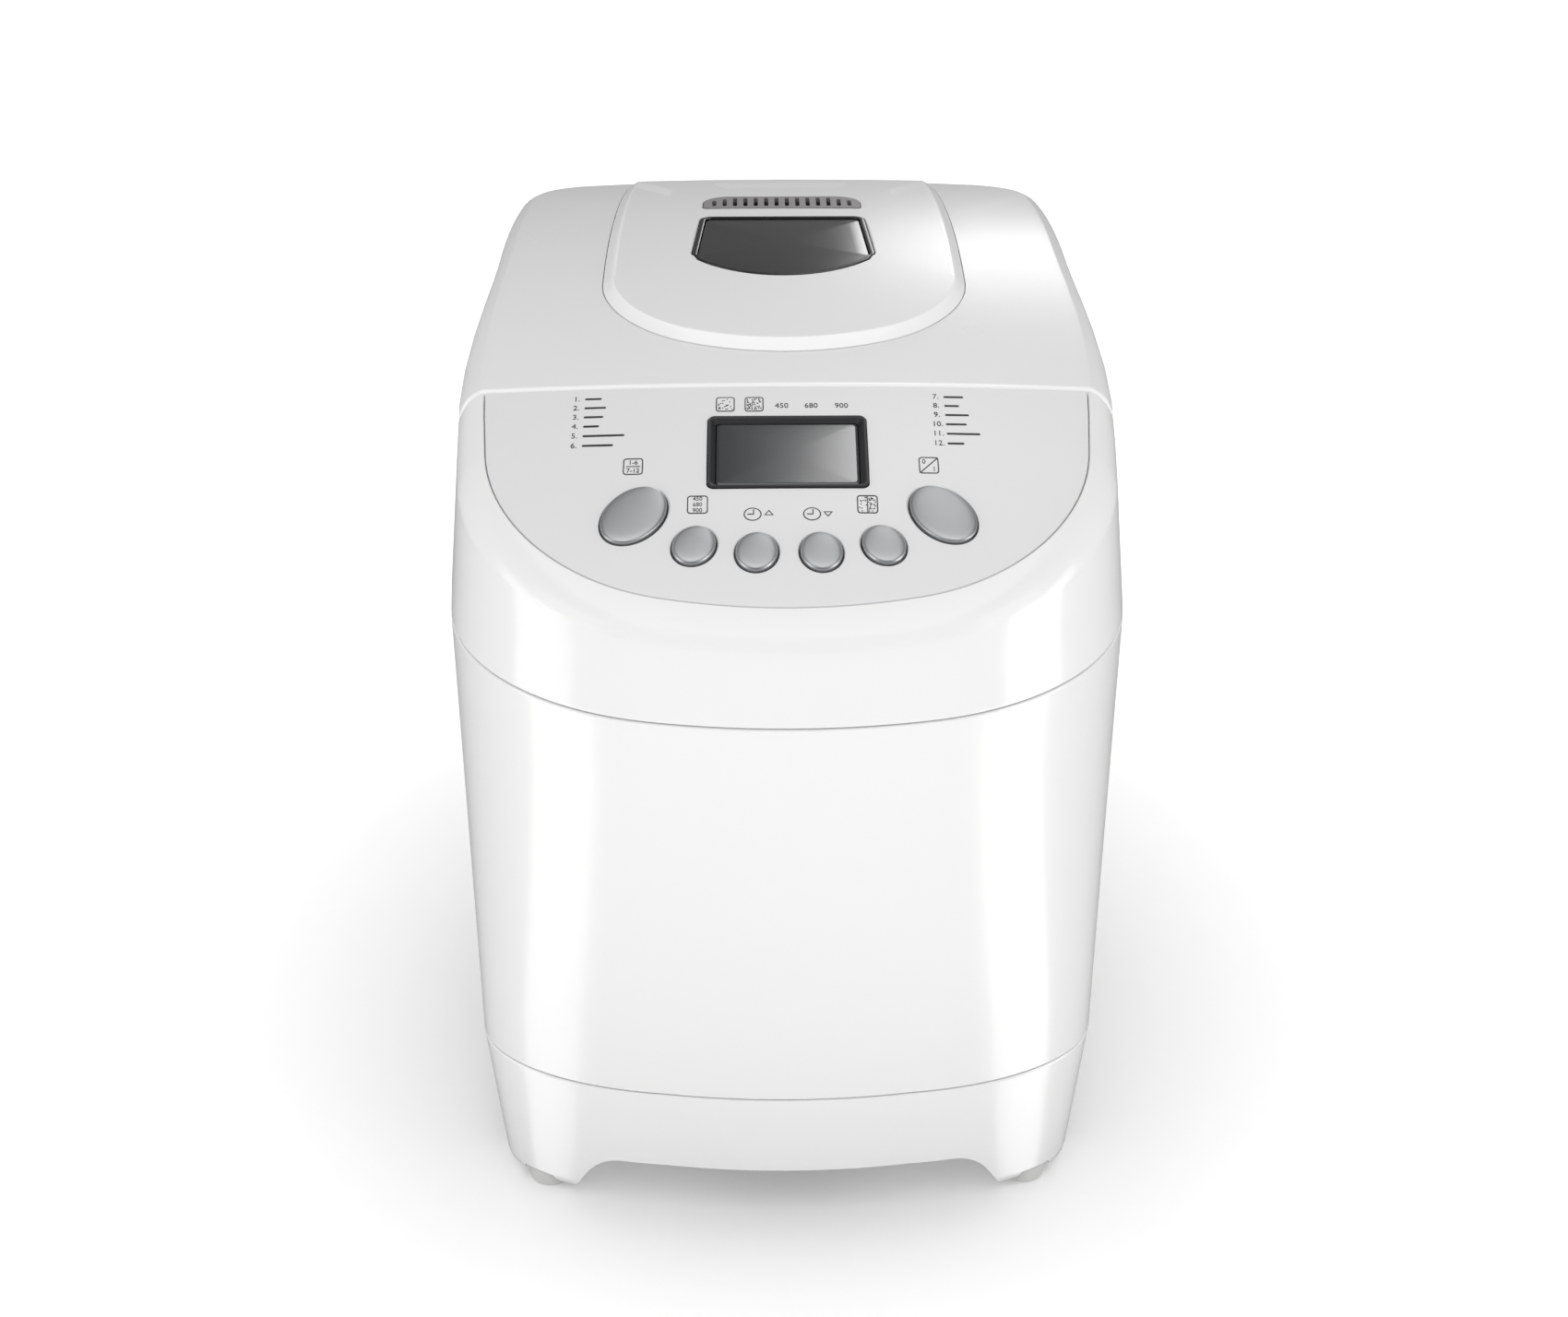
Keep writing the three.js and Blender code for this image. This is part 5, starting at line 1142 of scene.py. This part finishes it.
def build_display_window():
    hx, hy = DISPLAY_HALF[0] - 2.7, DISPLAY_HALF[1] - 2.7
    steps = ((1, -2.4), (1, -1.2), (0.985, -1.0), (0.95, -0.95), (0.7, -0.9),
             (0.35, -0.88), (0.05, -0.88))
    rings = [rounded_loop(hx * s, hy * s, 1.2 * s, z) for s, z in steps]
    return loft(rings)


bezel = onto_top(build_display_frame(), 0, DISPLAY_Y)
piece("display_bezel", bezel, BLACK_MATT, "housing", ["display_frame"])
glass = onto_top(build_display_window(), 0, DISPLAY_Y)
piece("display_glass", glass, DISPLAY, "housing", ["display_lens"])

# %% [markdown]
# ## The printed marks
#
# Beside the display are two numbered lists, and every button has a small pictogram. Real ink is
# a few hundredths of a millimetre thick, so each mark is a very thin solid that follows the
# slope. Digits are real digits; the words of the lists are only short strokes here.

# %% Tools for marks
INK_HEIGHT, INK_DEPTH, INK_LINE, SLOPE_STRETCH = 0.07, 0.02, 0.32, 1.28
marks = bmesh.new()


def lay_mark(bm, x, y, stretch=SLOPE_STRETCH):
    """Puts a flat mark, drawn round the origin in millimetres, onto the panel."""
    slope = math.cos(top_tilt(y))
    for vert in bm.verts:
        px, py = x + vert.co.x, y + vert.co.y * stretch * slope
        vert.co = (px, py, top_height(px, py) + vert.co.z)
    add_to(marks, bm)


def thicken(bm):
    """Turns flat faces into a thin closed solid."""
    made = bmesh.ops.extrude_face_region(bm, geom=list(bm.faces))["geom"]
    bmesh.ops.translate(bm, vec=(0, 0, INK_HEIGHT), verts=of_kind(made, VERT))
    bmesh.ops.translate(bm, vec=(0, 0, -INK_DEPTH), verts=bm.verts)
    return bm


def flat_bar(width, height, corner=0.0, segments=3):
    """A flat rectangle, with round corners where a corner radius is given."""
    bm = bmesh.new()
    bmesh.ops.create_grid(bm, x_segments=1, y_segments=1, size=0.5)
    bmesh.ops.scale(bm, vec=(width, height, 1), verts=bm.verts)
    if corner:
        bmesh.ops.bevel(
            bm, geom=list(bm.verts), offset=corner, segments=segments,
            profile=0.5, affect="VERTICES", material=-1,
        )
    return bm


def outlined(bm, line):
    """Keeps only a line along the border of a flat face."""
    inner = list(bm.faces)
    bmesh.ops.inset_region(
        bm, faces=inner, thickness=line, use_even_offset=True, use_boundary=True)
    bmesh.ops.delete(bm, geom=inner, context="FACES_ONLY")
    return thicken(bm)


def stroke(length, height=0.75):
    """A short bar with round ends."""
    return thicken(flat_bar(length, height, height * 0.45))


def frame_mark(width, height, radius, line=INK_LINE):
    """The outline of a rounded square."""
    return outlined(flat_bar(width, height, radius, segments=5), line)


def ring_mark(radius, corners, line=INK_LINE, turn=0.0):
    """The outline of a circle or, with three corners, a triangle."""
    bm = bmesh.new()
    spun = Matrix.Rotation(turn, 4, "Z")
    bmesh.ops.create_circle(bm, cap_ends=True, segments=corners, radius=radius, matrix=spun)
    return outlined(bm, line)


def line_mark(start, end, width=INK_LINE):
    """A straight line between two points of a pictogram."""
    span = Vector(end) - Vector(start)
    bm = flat_bar(span.length, width)
    turn = Matrix.Rotation(math.atan2(span.y, span.x), 4, "Z")
    middle = (Vector(start) + Vector(end)) / 2
    place = Matrix.Translation((middle.x, middle.y, 0)) @ turn
    bmesh.ops.transform(bm, matrix=place, verts=bm.verts)
    return thicken(bm)


def from_curve(curve):
    """A curve's finished surface as a bmesh; the curve itself is removed."""
    holder = bpy.data.objects.new(curve.name, curve)
    bpy.context.scene.collection.objects.link(holder)
    made = holder.evaluated_get(bpy.context.evaluated_depsgraph_get())
    mesh = bpy.data.meshes.new_from_object(made)
    bm = bmesh.new()
    bm.from_mesh(mesh)
    bpy.data.objects.remove(holder)
    bpy.data.curves.remove(curve)
    bpy.data.meshes.remove(mesh)
    bmesh.ops.remove_doubles(bm, verts=bm.verts, dist=MERGE)
    return bm


def digits(text, size):
    """Digits as thin solids, centred on the origin."""
    curve = bpy.data.curves.new("digits", "FONT")
    curve.body, curve.size, curve.align_x, curve.align_y = text, size, "CENTER", "CENTER"
    curve.fill_mode, curve.resolution_u = "FRONT", 3
    return thicken(from_curve(curve))


# %% Numbered lists
LIST_TOP, LIST_PITCH = -67.5, 4.85
LISTS = (
    (-67.2, 1, (5.3, 6.9, 6.2, 5.0, 13.2, 9.8)),
    (47.8, 7, (6.3, 4.7, 7.6, 6.6, 10.6, 5.3)),
)
for x, first, lengths in LISTS:
    for row, length in enumerate(lengths):
        y = LIST_TOP - row * LIST_PITCH
        lay_mark(digits(f"{first + row}.", 2.9), x, y)
        lay_mark(stroke(length), x + 2.6 + length / 2, y - 0.1)

# %% Pictograms over the display and beside the buttons
dots = random.Random(7)


def dotted_square(x, y, count, size=(6.0, 6.2), part=(-1.0, 1.0)):
    lay_mark(frame_mark(size[0], size[1], 1.0), x, y)
    for _ in range(count):
        dot = bmesh.new()
        bmesh.ops.create_circle(dot, cap_ends=True, segments=6, radius=0.2)
        across = size[0] / 2 - 0.7
        u = across * (part[0] + (part[1] - part[0]) * dots.random())
        v = (size[1] / 2 - 0.7) * (2 * dots.random() - 1)
        bmesh.ops.translate(dot, vec=(u, v, 0), verts=dot.verts)
        lay_mark(thicken(dot), x, y)


dotted_square(-19.6, -71.8, 22)
dotted_square(-10.4, -71.9, 60)
for text, x in (("450", -1.6), ("680", 7.8), ("900", 17.5)):
    lay_mark(digits(text, 2.9), x, -72.8)
lay_mark(frame_mark(6.2, 6.2, 1.0), -48.2, -102.4)
lay_mark(digits("1-6", 2.3), -48.2, -100.6)
lay_mark(line_mark((-2.2, 0), (2.2, 0), 0.25), -48.2, -102.4)
lay_mark(digits("7-12", 2.3), -48.2, -104.4)
lay_mark(frame_mark(6.2, 6.2, 1.0), 44.0, -102.5)
lay_mark(line_mark((-2.9, -2.9), (2.9, 2.9), 0.3), 44.0, -102.5)
lay_mark(digits("0", 2.4), 42.5, -100.8)
lay_mark(digits("1", 2.4), 45.6, -104.3)
lay_mark(frame_mark(6.4, 6.4, 1.0), -27.9, -120.2)
for text, rise in (("450", 2.5), ("680", 0.0), ("900", -2.5)):
    lay_mark(digits(text, 2.0), -27.9, -120.2 + rise)
dotted_square(24.3, -120.4, 12, (6.4, 6.4), (-1.0, -0.1))
dotted_square(24.3, -120.4, 34, (6.4, 6.4), (0.1, 1.0))
lay_mark(line_mark((0, -3.1), (0, 3.1), 0.3), 24.3, -120.4)
for x, arrow, turn in ((-11.0, -6.0, 0.0), (7.2, 12.1, math.pi)):
    lay_mark(ring_mark(2.75, 28), x, -124.6, 1.05)
    lay_mark(line_mark((0.3, -0.1), (0.3, 1.7), 0.3), x, -124.6)
    lay_mark(line_mark((0.3, 0), (-1.6, 0), 0.3), x, -124.6)
    lay_mark(ring_mark(1.7, 3, 0.28, turn), arrow, -124.3, 0.9)

piece("panel_marks", marks, INK, "housing")

# %% [markdown]
# ## The lid
#
# The lid is a cap that covers the whole top behind the panel, shoulder band included, with a
# skirt that drops inside the housing's rim. Its straight front edge is rounded over: that edge is
# what catches the light as a bright line across the machine, and a brighter white on it adds a
# painted highlight. Cutting the solid at the seam and extruding the cut's rim forwards in small
# steps, each a little smaller, gives that rounding.


# %% Lid cover
ROUNDING = ((0.38, 0.08), (0.71, 0.29), (0.92, 0.62), (1.0, 1.0))


def round_front(bm, seam, radius):
    """Cuts a solid at a plane across Y and rounds its new front edge over."""
    edges = slice_y(bm, seam + radius)
    bmesh.ops.remove_doubles(bm, verts=list({v for e in edges for v in e.verts}), dist=0.02)
    edges = [e for e in bm.edges if e.is_boundary]
    directions = {}
    for vert in {v for e in edges for v in e.verts}:
        normal = Vector((0, 0, 0))
        for face in vert.link_faces:
            normal += face.normal
        normal.y = 0
        directions[vert] = normal.normalized()
    previous = 0.0
    for forward, inset in ROUNDING:
        below, edges = extrude_rim(bm, edges, directions)
        for vert, old in below.items():
            vert.co -= directions[old] * radius * (inset - previous)
            vert.co.y = seam + radius * (1 - forward)
        directions = {vert: directions[old] for vert, old in below.items()}
        previous = inset
    bmesh.ops.edgeloop_fill(bm, edges=edges)
    bmesh.ops.recalc_face_normals(bm, faces=bm.faces)
    return bm


def build_lid():
    rings = [inset_ring(SKIRT_INSET, SKIRT_BOTTOM), shelf_ring(SKIRT_INSET, 0.2, LOWEST_EDGE)]
    rings += [edge_ring(0.8, 0.2, LOWEST_EDGE), edge_ring(0.25, 0.4, LOWEST_EDGE)]
    rings += bezel_rings(0.9, LOWEST_EDGE) + crown_rings(BEZEL_INSET, 0.0)
    cap = round_front(loft(rings), SEAM_Y + SEAM_HALF, 2.0)
    inner = SKIRT_INSET + WALL
    pocket = [inset_ring(inner, SKIRT_BOTTOM - 5), inset_ring(inner, crowned(-WALL))]
    pocket = loft(pocket + crown_rings(inner, -WALL))
    pocket = cut_off(pocket, SEAM_Y + SEAM_HALF + WALL)
    cap = carve(cap, pocket)
    cap = carve(cap, *knuckle_bars(-6.5, 6.5, KNUCKLE), operation="UNION")
    wider = KNUCKLE + 0.5
    spaces = knuckle_bars(-15.6, -6.5, wider) + knuckle_bars(6.5, 15.6, wider)
    steam = block((-24, 83, DECK + 15), (24, 98, CREST + 20))
    sight = loft([window_ring(1.0, DECK), window_ring(1.0, CREST + 20)])
    seat = loft([shield_ring(-FIT, crowned(-1.2)), shield_ring(-FIT, CREST + 20)])
    return carve(cap, *spaces, *knuckle_bars(-17, 17, PIN_HOLE), seat, sight, steam)


# %% Outlines of the raised panel and of the window
SHIELD_FRONT, SHIELD_REAR = -41.0, REAR - 31.0


def shield_ring(inset, height):
    """Raised panel from above: a wide front arc, round shoulders, sides that close in."""
    reach, half, rear_half, corner = 85.0, 62.0, 58.5, 6
    end = math.radians(22)
    shoulder = (half - reach * math.sin(end)) / (1 - math.sin(end))
    points = []
    for step in range(9):
        f = end * step / 8
        points.append((reach * math.sin(f), SHIELD_FRONT + reach * (1 - math.cos(f)), f))
    cx, cy, _ = points[-1]
    for step in range(1, 19):
        f = end + (math.pi / 2 - end) * step / 18
        x = cx + shoulder * (math.sin(f) - math.sin(end))
        points.append((x, cy + shoulder * (math.cos(end) - math.cos(f)), f))
    side_start, side_end = points[-1][1], SHIELD_REAR - corner
    for step in range(1, 9):
        t = step / 8
        y = side_start + (side_end - side_start) * t
        points.append((half - (half - rear_half) * t * t, y, math.radians(90 + 5 * t)))
    for step in range(1, 9):
        f = math.radians(95 + 80 * step / 8)
        x = rear_half - corner + corner * math.sin(f)
        points.append((x, side_end - corner * math.cos(f), f))
    points += [(rear_half / 2, SHIELD_REAR, math.pi), (0.0, SHIELD_REAR, math.pi)]
    full = points + [(-x, y, -f) for x, y, f in reversed(points[1:-1])]
    ring = [inward(point, inset) for point in full]
    return [(x, y, height_at(height, x, y)) for x, y in ring]


def window_ring(inset, height):
    """Window from above: straight top and sides, and one arc along the bottom."""
    top_half, low_half, top_y, low_y, sag = 29.5, 31.8, 70.0, 26.0, 17.5
    radius = (low_half ** 2 + sag ** 2) / (2 * sag)
    centre_y = low_y - sag + radius
    sweep = math.asin(low_half / radius)
    corner = 4 - inset * 0.5
    points = []

    def arc(cx, cy, r, start, end, steps):
        for step in range(steps + 1):
            a = start + (end - start) * step / steps
            points.append((cx + r * math.cos(a), cy + r * math.sin(a)))

    pi = math.pi
    arc(-top_half + inset + corner, top_y - inset - corner, corner, pi / 2, pi, 8)
    arc(-low_half + inset + corner, low_y + corner - 1, corner, pi, pi * 1.25, 5)
    arc(0, centre_y, radius - inset, 1.5 * pi - sweep + 0.105, 1.5 * pi + sweep - 0.105, 26)
    arc(low_half - inset - corner, low_y + corner - 1, corner, 1.75 * pi, 2 * pi, 5)
    arc(top_half - inset - corner, top_y - inset - corner, corner, 0, pi / 2, 8)
    return [(x, y, height_at(height, x, y)) for x, y in points]


def on_front_lip(face):
    centre = face.calc_center_median()
    return centre.y < SEAM_Y + SEAM_HALF + 2.0 and centre.z > CREST - 40 and face.normal.z > -0.2


# The rounded front lip gets the brighter white: a painted highlight.
piece("lid_shell", build_lid(), LID_SATIN_SHADED, "lid", ["lid_cover"], smooth=32,
      trim=PAINTED_HIGHLIGHT_WHITE, in_trim=on_front_lip)

# %% [markdown]
# ## The raised panel, the window and the vent
#
# A shallow raised panel runs down the middle of the lid. A sloping band about four millimetres
# wide surrounds it and shows as a bright outline; its brighter white is a painted highlight. The
# window sits in it, in a thin dark trim, and behind it a grey grille lets the steam out.


# %% Raised panel
SHIELD_RISE = 3.0
VENT_Y = 90.4
VENT_HALF = (28.7, 9.2)


def build_shield():
    centre = (SHIELD_FRONT + SHIELD_REAR) / 2
    shares = (0.9, 0.75, 0.6, 0.45, 0.3, 0.15, 0.04)
    rings = list(reversed(closing_rings(shield_ring(0, 0.0), -0.9, centre, shares)))
    rings += [shield_ring(i, crowned(z)) for i, z in (
        (0, -0.9), (0, 0.1), (0.12, 0.3), (0.4, 0.5), (1.4, 1.35), (2.4, 2.2), (3.2, 2.78),
        (3.7, 2.95), (4.3, SHIELD_RISE))]
    plate = loft(rings + closing_rings(shield_ring(4.3, 0.0), SHIELD_RISE, centre, shares))
    hole = loft([
        window_ring(-FIT, DECK), window_ring(-FIT, crowned(2.8)), window_ring(-2.0, crowned(4.5))])
    vent = loft([vent_ring(-FIT, -8), vent_ring(-FIT, -0.2), vent_ring(-1.5, 1.0)])
    return carve(plate, hole, onto_top(vent, 0, VENT_Y, SHIELD_RISE))


def vent_ring(inset, z):
    """Vent from above: small corners in front, large ones behind."""
    x, y = VENT_HALF[0] - inset, VENT_HALF[1] - inset
    corners = ((x, y, 10 - inset), (-x, y, 10 - inset), (-x, -y, 2.0), (x, -y, 2.0))
    ring = []
    for start, (cx, cy, r) in enumerate(corners):
        for step in range(9):
            a = (start + step / 8.001) * math.pi / 2
            px = cx - math.copysign(r, cx) + r * math.cos(a)
            ring.append((px, cy - math.copysign(r, cy) + r * math.sin(a), z))
    return ring


def on_band(face):
    centre = face.calc_center_median()
    rise = centre.z - top_height(centre.x, centre.y)
    return 0.15 < rise < 2.93 and not (abs(centre.x) < 36 and 5 < centre.y < 104)


# The sloping band gets the brighter white: a painted highlight for the bright outline.
piece("raised_panel", build_shield(), LID_SATIN_SHADED, "lid",
      ["lid_centre_panel"], smooth=32, trim=PAINTED_HIGHLIGHT_WHITE, in_trim=on_band)

# %% Window trim and glass
trim_steps = (
    (0, 0.8), (0, 2.85), (0.12, 3.08), (0.45, 3.2), (1.35, 3.2), (1.68, 3.08), (1.8, 2.8),
    (1.8, 0.8),
)
trim = loft([window_ring(i, crowned(z)) for i, z in trim_steps], closed=True)
piece("window_frame", trim, DARK_TRIM, "lid", ["window_trim"])


def build_pane():
    rings = [window_ring(i, crowned(z)) for i, z in ((2.1, 1.0), (2.1, 2.4), (2.3, 2.55))]
    shares = (0.85, 0.65, 0.45, 0.25, 0.06)
    return loft(rings + closing_rings(window_ring(2.1, 0.0), 2.6, 40, shares))


piece("window_pane", build_pane(), SMOKED, "lid", ["window_glass"])


# %% Vent grille
def build_vent():
    plate = loft([vent_ring(i, z) for i, z in ((0, -1.6), (0, -0.1), (0.1, 0.1), (0.4, 0.2))])
    half_x, half_y = VENT_HALF
    pitch = (half_x * 2 - 8) / 13
    slots = []
    for number in range(14):
        x = (number - 6.5) * pitch
        rear = half_y - 2.5 - max(0.0, abs(x) - 16.7) * 0.6
        middle = (x, (rear - 6.7) / 2)
        rings = [rounded_loop(0.75, (rear + 6.7) / 2, 0.74, z, middle, 4) for z in (-3, 1)]
        slots.append(loft(rings))
    return onto_top(carve(plate, *slots), 0, VENT_Y, SHIELD_RISE)


piece("steam_grille", build_vent(), VENT_GREY, "lid", ["vent_grille"])


# %% Lid liner: a pressed sheet with a raised dome that clears the bread
def build_liner():
    low, sheet, ceiling = DECK + 2.2, 1.2, CREST - 21.0
    front, rear = SEAM_Y + 16, REAR - 34
    middle, half = (0, (front + rear) / 2), (rear - front) / 2
    flange = loft([inset_ring(15.3, low), inset_ring(15.3, low + sheet)])
    flange = cut_off(flange, SEAM_Y + SEAM_HALF + 0.3)

    def dome(grow, low_z, high_z):
        return loft([
            rounded_loop(86 - i + grow, half - i + grow, 24 - i * 0.5 + grow, z, middle)
            for i, z in (
                (0, low_z), (0, high_z - 4), (0.6, high_z - 2), (2.0, high_z - 0.6), (4.0, high_z))
        ])

    body_sheet = carve(flange, dome(0, low, ceiling + sheet), operation="UNION")
    sight = loft([rounded_loop(30, 28, 6, z, (0, 38)) for z in (ceiling - 1, ceiling + 6)])
    holes = [bar((x, VENT_Y, DECK), (x, VENT_Y, CREST), 2.5) for x in (-20, -10, 0, 10, 20)]
    return carve(body_sheet, dome(-sheet, low - 1, ceiling), sight, *holes)


piece("lid_lining", build_liner(), ALUMINIUM, "lid", ["lid_liner"], smooth=28)

# %% [markdown]
# ## The oven chamber and the pan
#
# With the lid open the inside shows: a deep pressed chamber with round corners, the heating tube
# round its foot, and the coated pan with its wire handle. Chamber and pan are each one closed
# skin that starts at the shaft's hole in the floor, goes out under the floor, up the outside, over
# the rim and back down the inside to the same hole.


# %% Oven chamber
def build_chamber():
    hx, hy, r, low, rim, sheet = 87.0, 94.0, 25.0, 62.0, DECK + 0.3, 1.2
    c = (0, PAN_Y)
    rings = [rounded_loop(8.5, 8.5, 8.49, low - sheet, c)]
    rings += [rounded_loop(hx - i + sheet, hy - i + sheet, r - i * 0.6 + sheet, z, c) for i, z in (
        (7, low - sheet), (3, low - 0.2), (0.8, low + 2), (0, low + 6), (0, rim))]
    rings += [rounded_loop(hx + 3.7, hy + 3.7, r + 3.5, z, c) for z in (rim, rim + sheet)]
    rings += [rounded_loop(hx - i, hy - i, r - i * 0.6, z, c) for i, z in (
        (-1.2, rim + sheet), (-0.35, rim + sheet - 0.35), (0, rim + sheet - 1.2), (0, low + 7),
        (0.8, low + 3.2), (3, low + 1), (7, low))]
    rings.append(rounded_loop(8.5, 8.5, 8.49, low, c))
    round_holes = ((-14, 84, 4.2), (14, 84, 4.2), (40, 112, 3.4))
    holes = [bar((x, -55, z), (x, -43, z), radius) for x, z, radius in round_holes]
    return carve(loft(rings, closed=True), *holes)


piece("oven_tub", build_chamber(), CHAMBER_SHEET, "housing", ["oven_chamber"], smooth=28)


# %% Wires: a round section swept along a route
def swept(points, radius, cyclic=False, sides=7):
    curve = bpy.data.curves.new("route", "CURVE")
    curve.dimensions, curve.use_fill_caps = "3D", True
    curve.bevel_depth, curve.bevel_resolution = radius, sides
    spline = curve.splines.new("POLY")
    spline.points.add(len(points) - 1)
    for point, place in zip(spline.points, points):
        point.co = (*place, 1)
    spline.use_cyclic_u = cyclic
    return from_curve(curve)


def round_corners(points, radius, steps=8):
    """Replaces each corner of a route by a smooth bend."""
    route = [Vector(points[0])]
    for before, corner, after in zip(points, points[1:], points[2:]):
        before, corner, after = Vector(before), Vector(corner), Vector(after)
        reach = min(radius, (before - corner).length / 2, (after - corner).length / 2)
        start = corner + (before - corner).normalized() * reach
        end = corner + (after - corner).normalized() * reach
        for step in range(steps + 1):
            t = step / steps
            route.append(start * (1 - t) ** 2 + corner * 2 * t * (1 - t) + end * t * t)
    return route + [Vector(points[-1])]


# %% Heating tube
hx, hy, z = 78.0, 85.0, 84.0
tube_route = [
    (14, -57, z), (14, PAN_Y - hy, z), (hx, PAN_Y - hy, z), (hx, PAN_Y + hy, z),
    (-hx, PAN_Y + hy, z), (-hx, PAN_Y - hy, z), (-14, PAN_Y - hy, z), (-14, -57, z),
]
tube = swept(round_corners(tube_route, 20), 3.2)
piece("heating_tube", tube, ELEMENT, "housing", ["heating_element"], smooth=60)


# %% Bread pan
PIVOT_Z = 212


def build_pan():
    hx, hy, c = 70.0, 80.0, (0, PAN_Y)
    low, rim, wall = 75.0, 220.0, 1.6

    def ring(inset, z, radius):
        return rounded_loop(hx - inset, hy - inset, radius, z, c)

    hole = 6.3
    shape = (
        (8, low, 12), (5.6, low + 0.6, 14), (4.4, low + 1.8, 15.4), (4, low + 4, 16),
        (0, rim - 3, 20), (-0.2, rim - 2, 20.2), (-2.6, rim - 1.7, 22.6), (-3.0, rim - 1.2, 23),
        (-3.0, rim - 0.5, 23), (-2.6, rim, 22.6), (0.6, rim, 19.4), (wall, rim - 1.0, 18.4),
        (4 + wall, low + 9, 14.4), (5.0 + wall, low + 4.6, 13.4), (8 + wall, low + 2.3, 11),
        (11 + wall, low + 2, 9),
    )
    rings = [rounded_loop(hole, hole, hole - 0.01, low, c)]
    rings += [ring(*numbers) for numbers in shape]
    rings.append(rounded_loop(hole, hole, hole - 0.01, low + 2, c))
    ears = [
        block((x - 1.4, PAN_Y - 7, 206), (x + 1.4, PAN_Y + 7, 219.9)) for x in (-73.8, 73.8)
    ]
    pan = carve(loft(rings, closed=True), *ears, operation="UNION")
    pivots = [bar((s * 71, PAN_Y, PIVOT_Z), (s * 80, PAN_Y, PIVOT_Z), 2.6) for s in (-1, 1)]
    return carve(pan, *pivots)


piece("bread_tin", build_pan(), PAN_COAT, "pan", ["bread_pan"], smooth=28)

# %% Pan handle: one bent wire, resting on the rim
reach = 276 - PIVOT_Z - 2.3 - 4
rest_angle = math.asin(10.6 / (reach - 5.5))
half_route = [(71.6, 0), (78.2, 0), (78.2, reach), (39, reach)]
handle_route = half_route + [(-x, out) for x, out in reversed(half_route)]
handle_points = [
    (x, PAN_Y + out * math.cos(rest_angle), PIVOT_Z + out * math.sin(rest_angle))
    for x, out in handle_route
]
handle_wire = swept(round_corners(handle_points, 9), 2.3)
piece("wire_handle", handle_wire, HANDLE_WIRE, "handle", ["pan_handle"], smooth=60)


# %% Kneading paddle: a hub that stands on the spindle and one curved fin
def build_paddle():
    low = 79.3
    profile = [
        (0, low), (8.6, low), (9, low + 0.5), (7.2, 101), (6.4, 103.6), (4.4, 105), (0, 105.2),
    ]
    hub = turned(profile, (0, PAN_Y))
    outline = [
        (0, low), (46, low), (50.5, low + 2), (53, low + 7), (53.2, low + 14), (51, low + 21.5),
        (45.5, low + 28), (36, low + 31), (24, low + 29.5), (12, low + 24), (0, low + 16),
    ]
    fin = loft([[(x, y, z) for x, z in outline] for y in (PAN_Y - 2, PAN_Y + 2)])
    bmesh.ops.bevel(
        fin, geom=[e for e in fin.edges if abs(e.verts[0].co.y - e.verts[1].co.y) < 0.1],
        offset=0.8, segments=3, profile=0.5, affect="EDGES", material=-1)
    paddle = carve(hub, fin, operation="UNION")
    return carve(paddle, bar((0, PAN_Y, low - 2), (0, PAN_Y, 98.8), 3.3))


piece("dough_paddle", build_paddle(), PAN_COAT, "paddle", ["kneading_paddle"])

# %% Cord gland at the rear: a flanged sleeve with a rounded mouth
wall_y = REAR - lean(GLAND[1])[2]
gland = turned([
    (3.6, -14), (6.5, -14), (6.5, -13), (9.5, -13), (9.5, -8), (6.5, -8), (6.5, 0.5),
    (9.2, 0.5), (9.5, 0.8), (9.5, 2.4), (8.6, 3.4), (6.2, 3.5), (4.4, 3.2), (3.6, 2.2),
    (3.6, -14),
])
upright = Matrix.Rotation(-math.pi / 2, 4, "X")
place_gland = Matrix.Translation((GLAND[0], wall_y, GLAND[1])) @ upright
bmesh.ops.transform(gland, matrix=place_gland, verts=gland.verts)
piece("cord_sleeve", gland, BLACK_MATT, "housing", ["cord_gland"])

# %% [markdown]
# ## The works
#
# Pieces that stay hidden inside the machine keep their engineering shapes. They still get their
# real finishes, because the model may be taken apart or seen from below.

# %% Finishes of the pieces that keep their shape
CARRIED = {
    "steel": (STEEL, [
        "base_screw_1", "base_screw_2", "base_screw_3", "base_screw_4", "element_clip_left",
        "element_clip_right", "temperature_sensor", "pan_clip_left", "pan_clip_right",
        "pan_spindle", "drive_shaft", "motor_pulley", "chassis_plate", "motor_rotor",
        "hinge_pin_left", "hinge_pin_right"]),
    "aluminium": (ALUMINIUM, ["pan_base", "pan_coupling", "bearing_housing", "motor_lower_cap",
                              "motor_upper_cap", "run_capacitor"]),
    "black": (BLACK_MATT, ["display_module", "drive_pulley"]),
    "board": (BOARD, ["control_board", "power_board"]),
    "nylon": (BUSH, ["spindle_bush", "drive_coupling", "thermal_fuse"]),
    "winding": (WINDING, ["motor_stator"]),
    "belt": (BELT, ["drive_belt"]),
    "glass": (SMOKED, ["inner_window"]),
}
for material, names in CARRIED.values():
    for name in names:
        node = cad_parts[name]
        if not node.material_slots:
            node.data.materials.append(material)
        for holder in node.material_slots:
            holder.link = "OBJECT"
            holder.material = material
carried = sum(len(names) for _, names in CARRIED.values())
print("carried over:", carried, "new pieces:", len(piece_count))
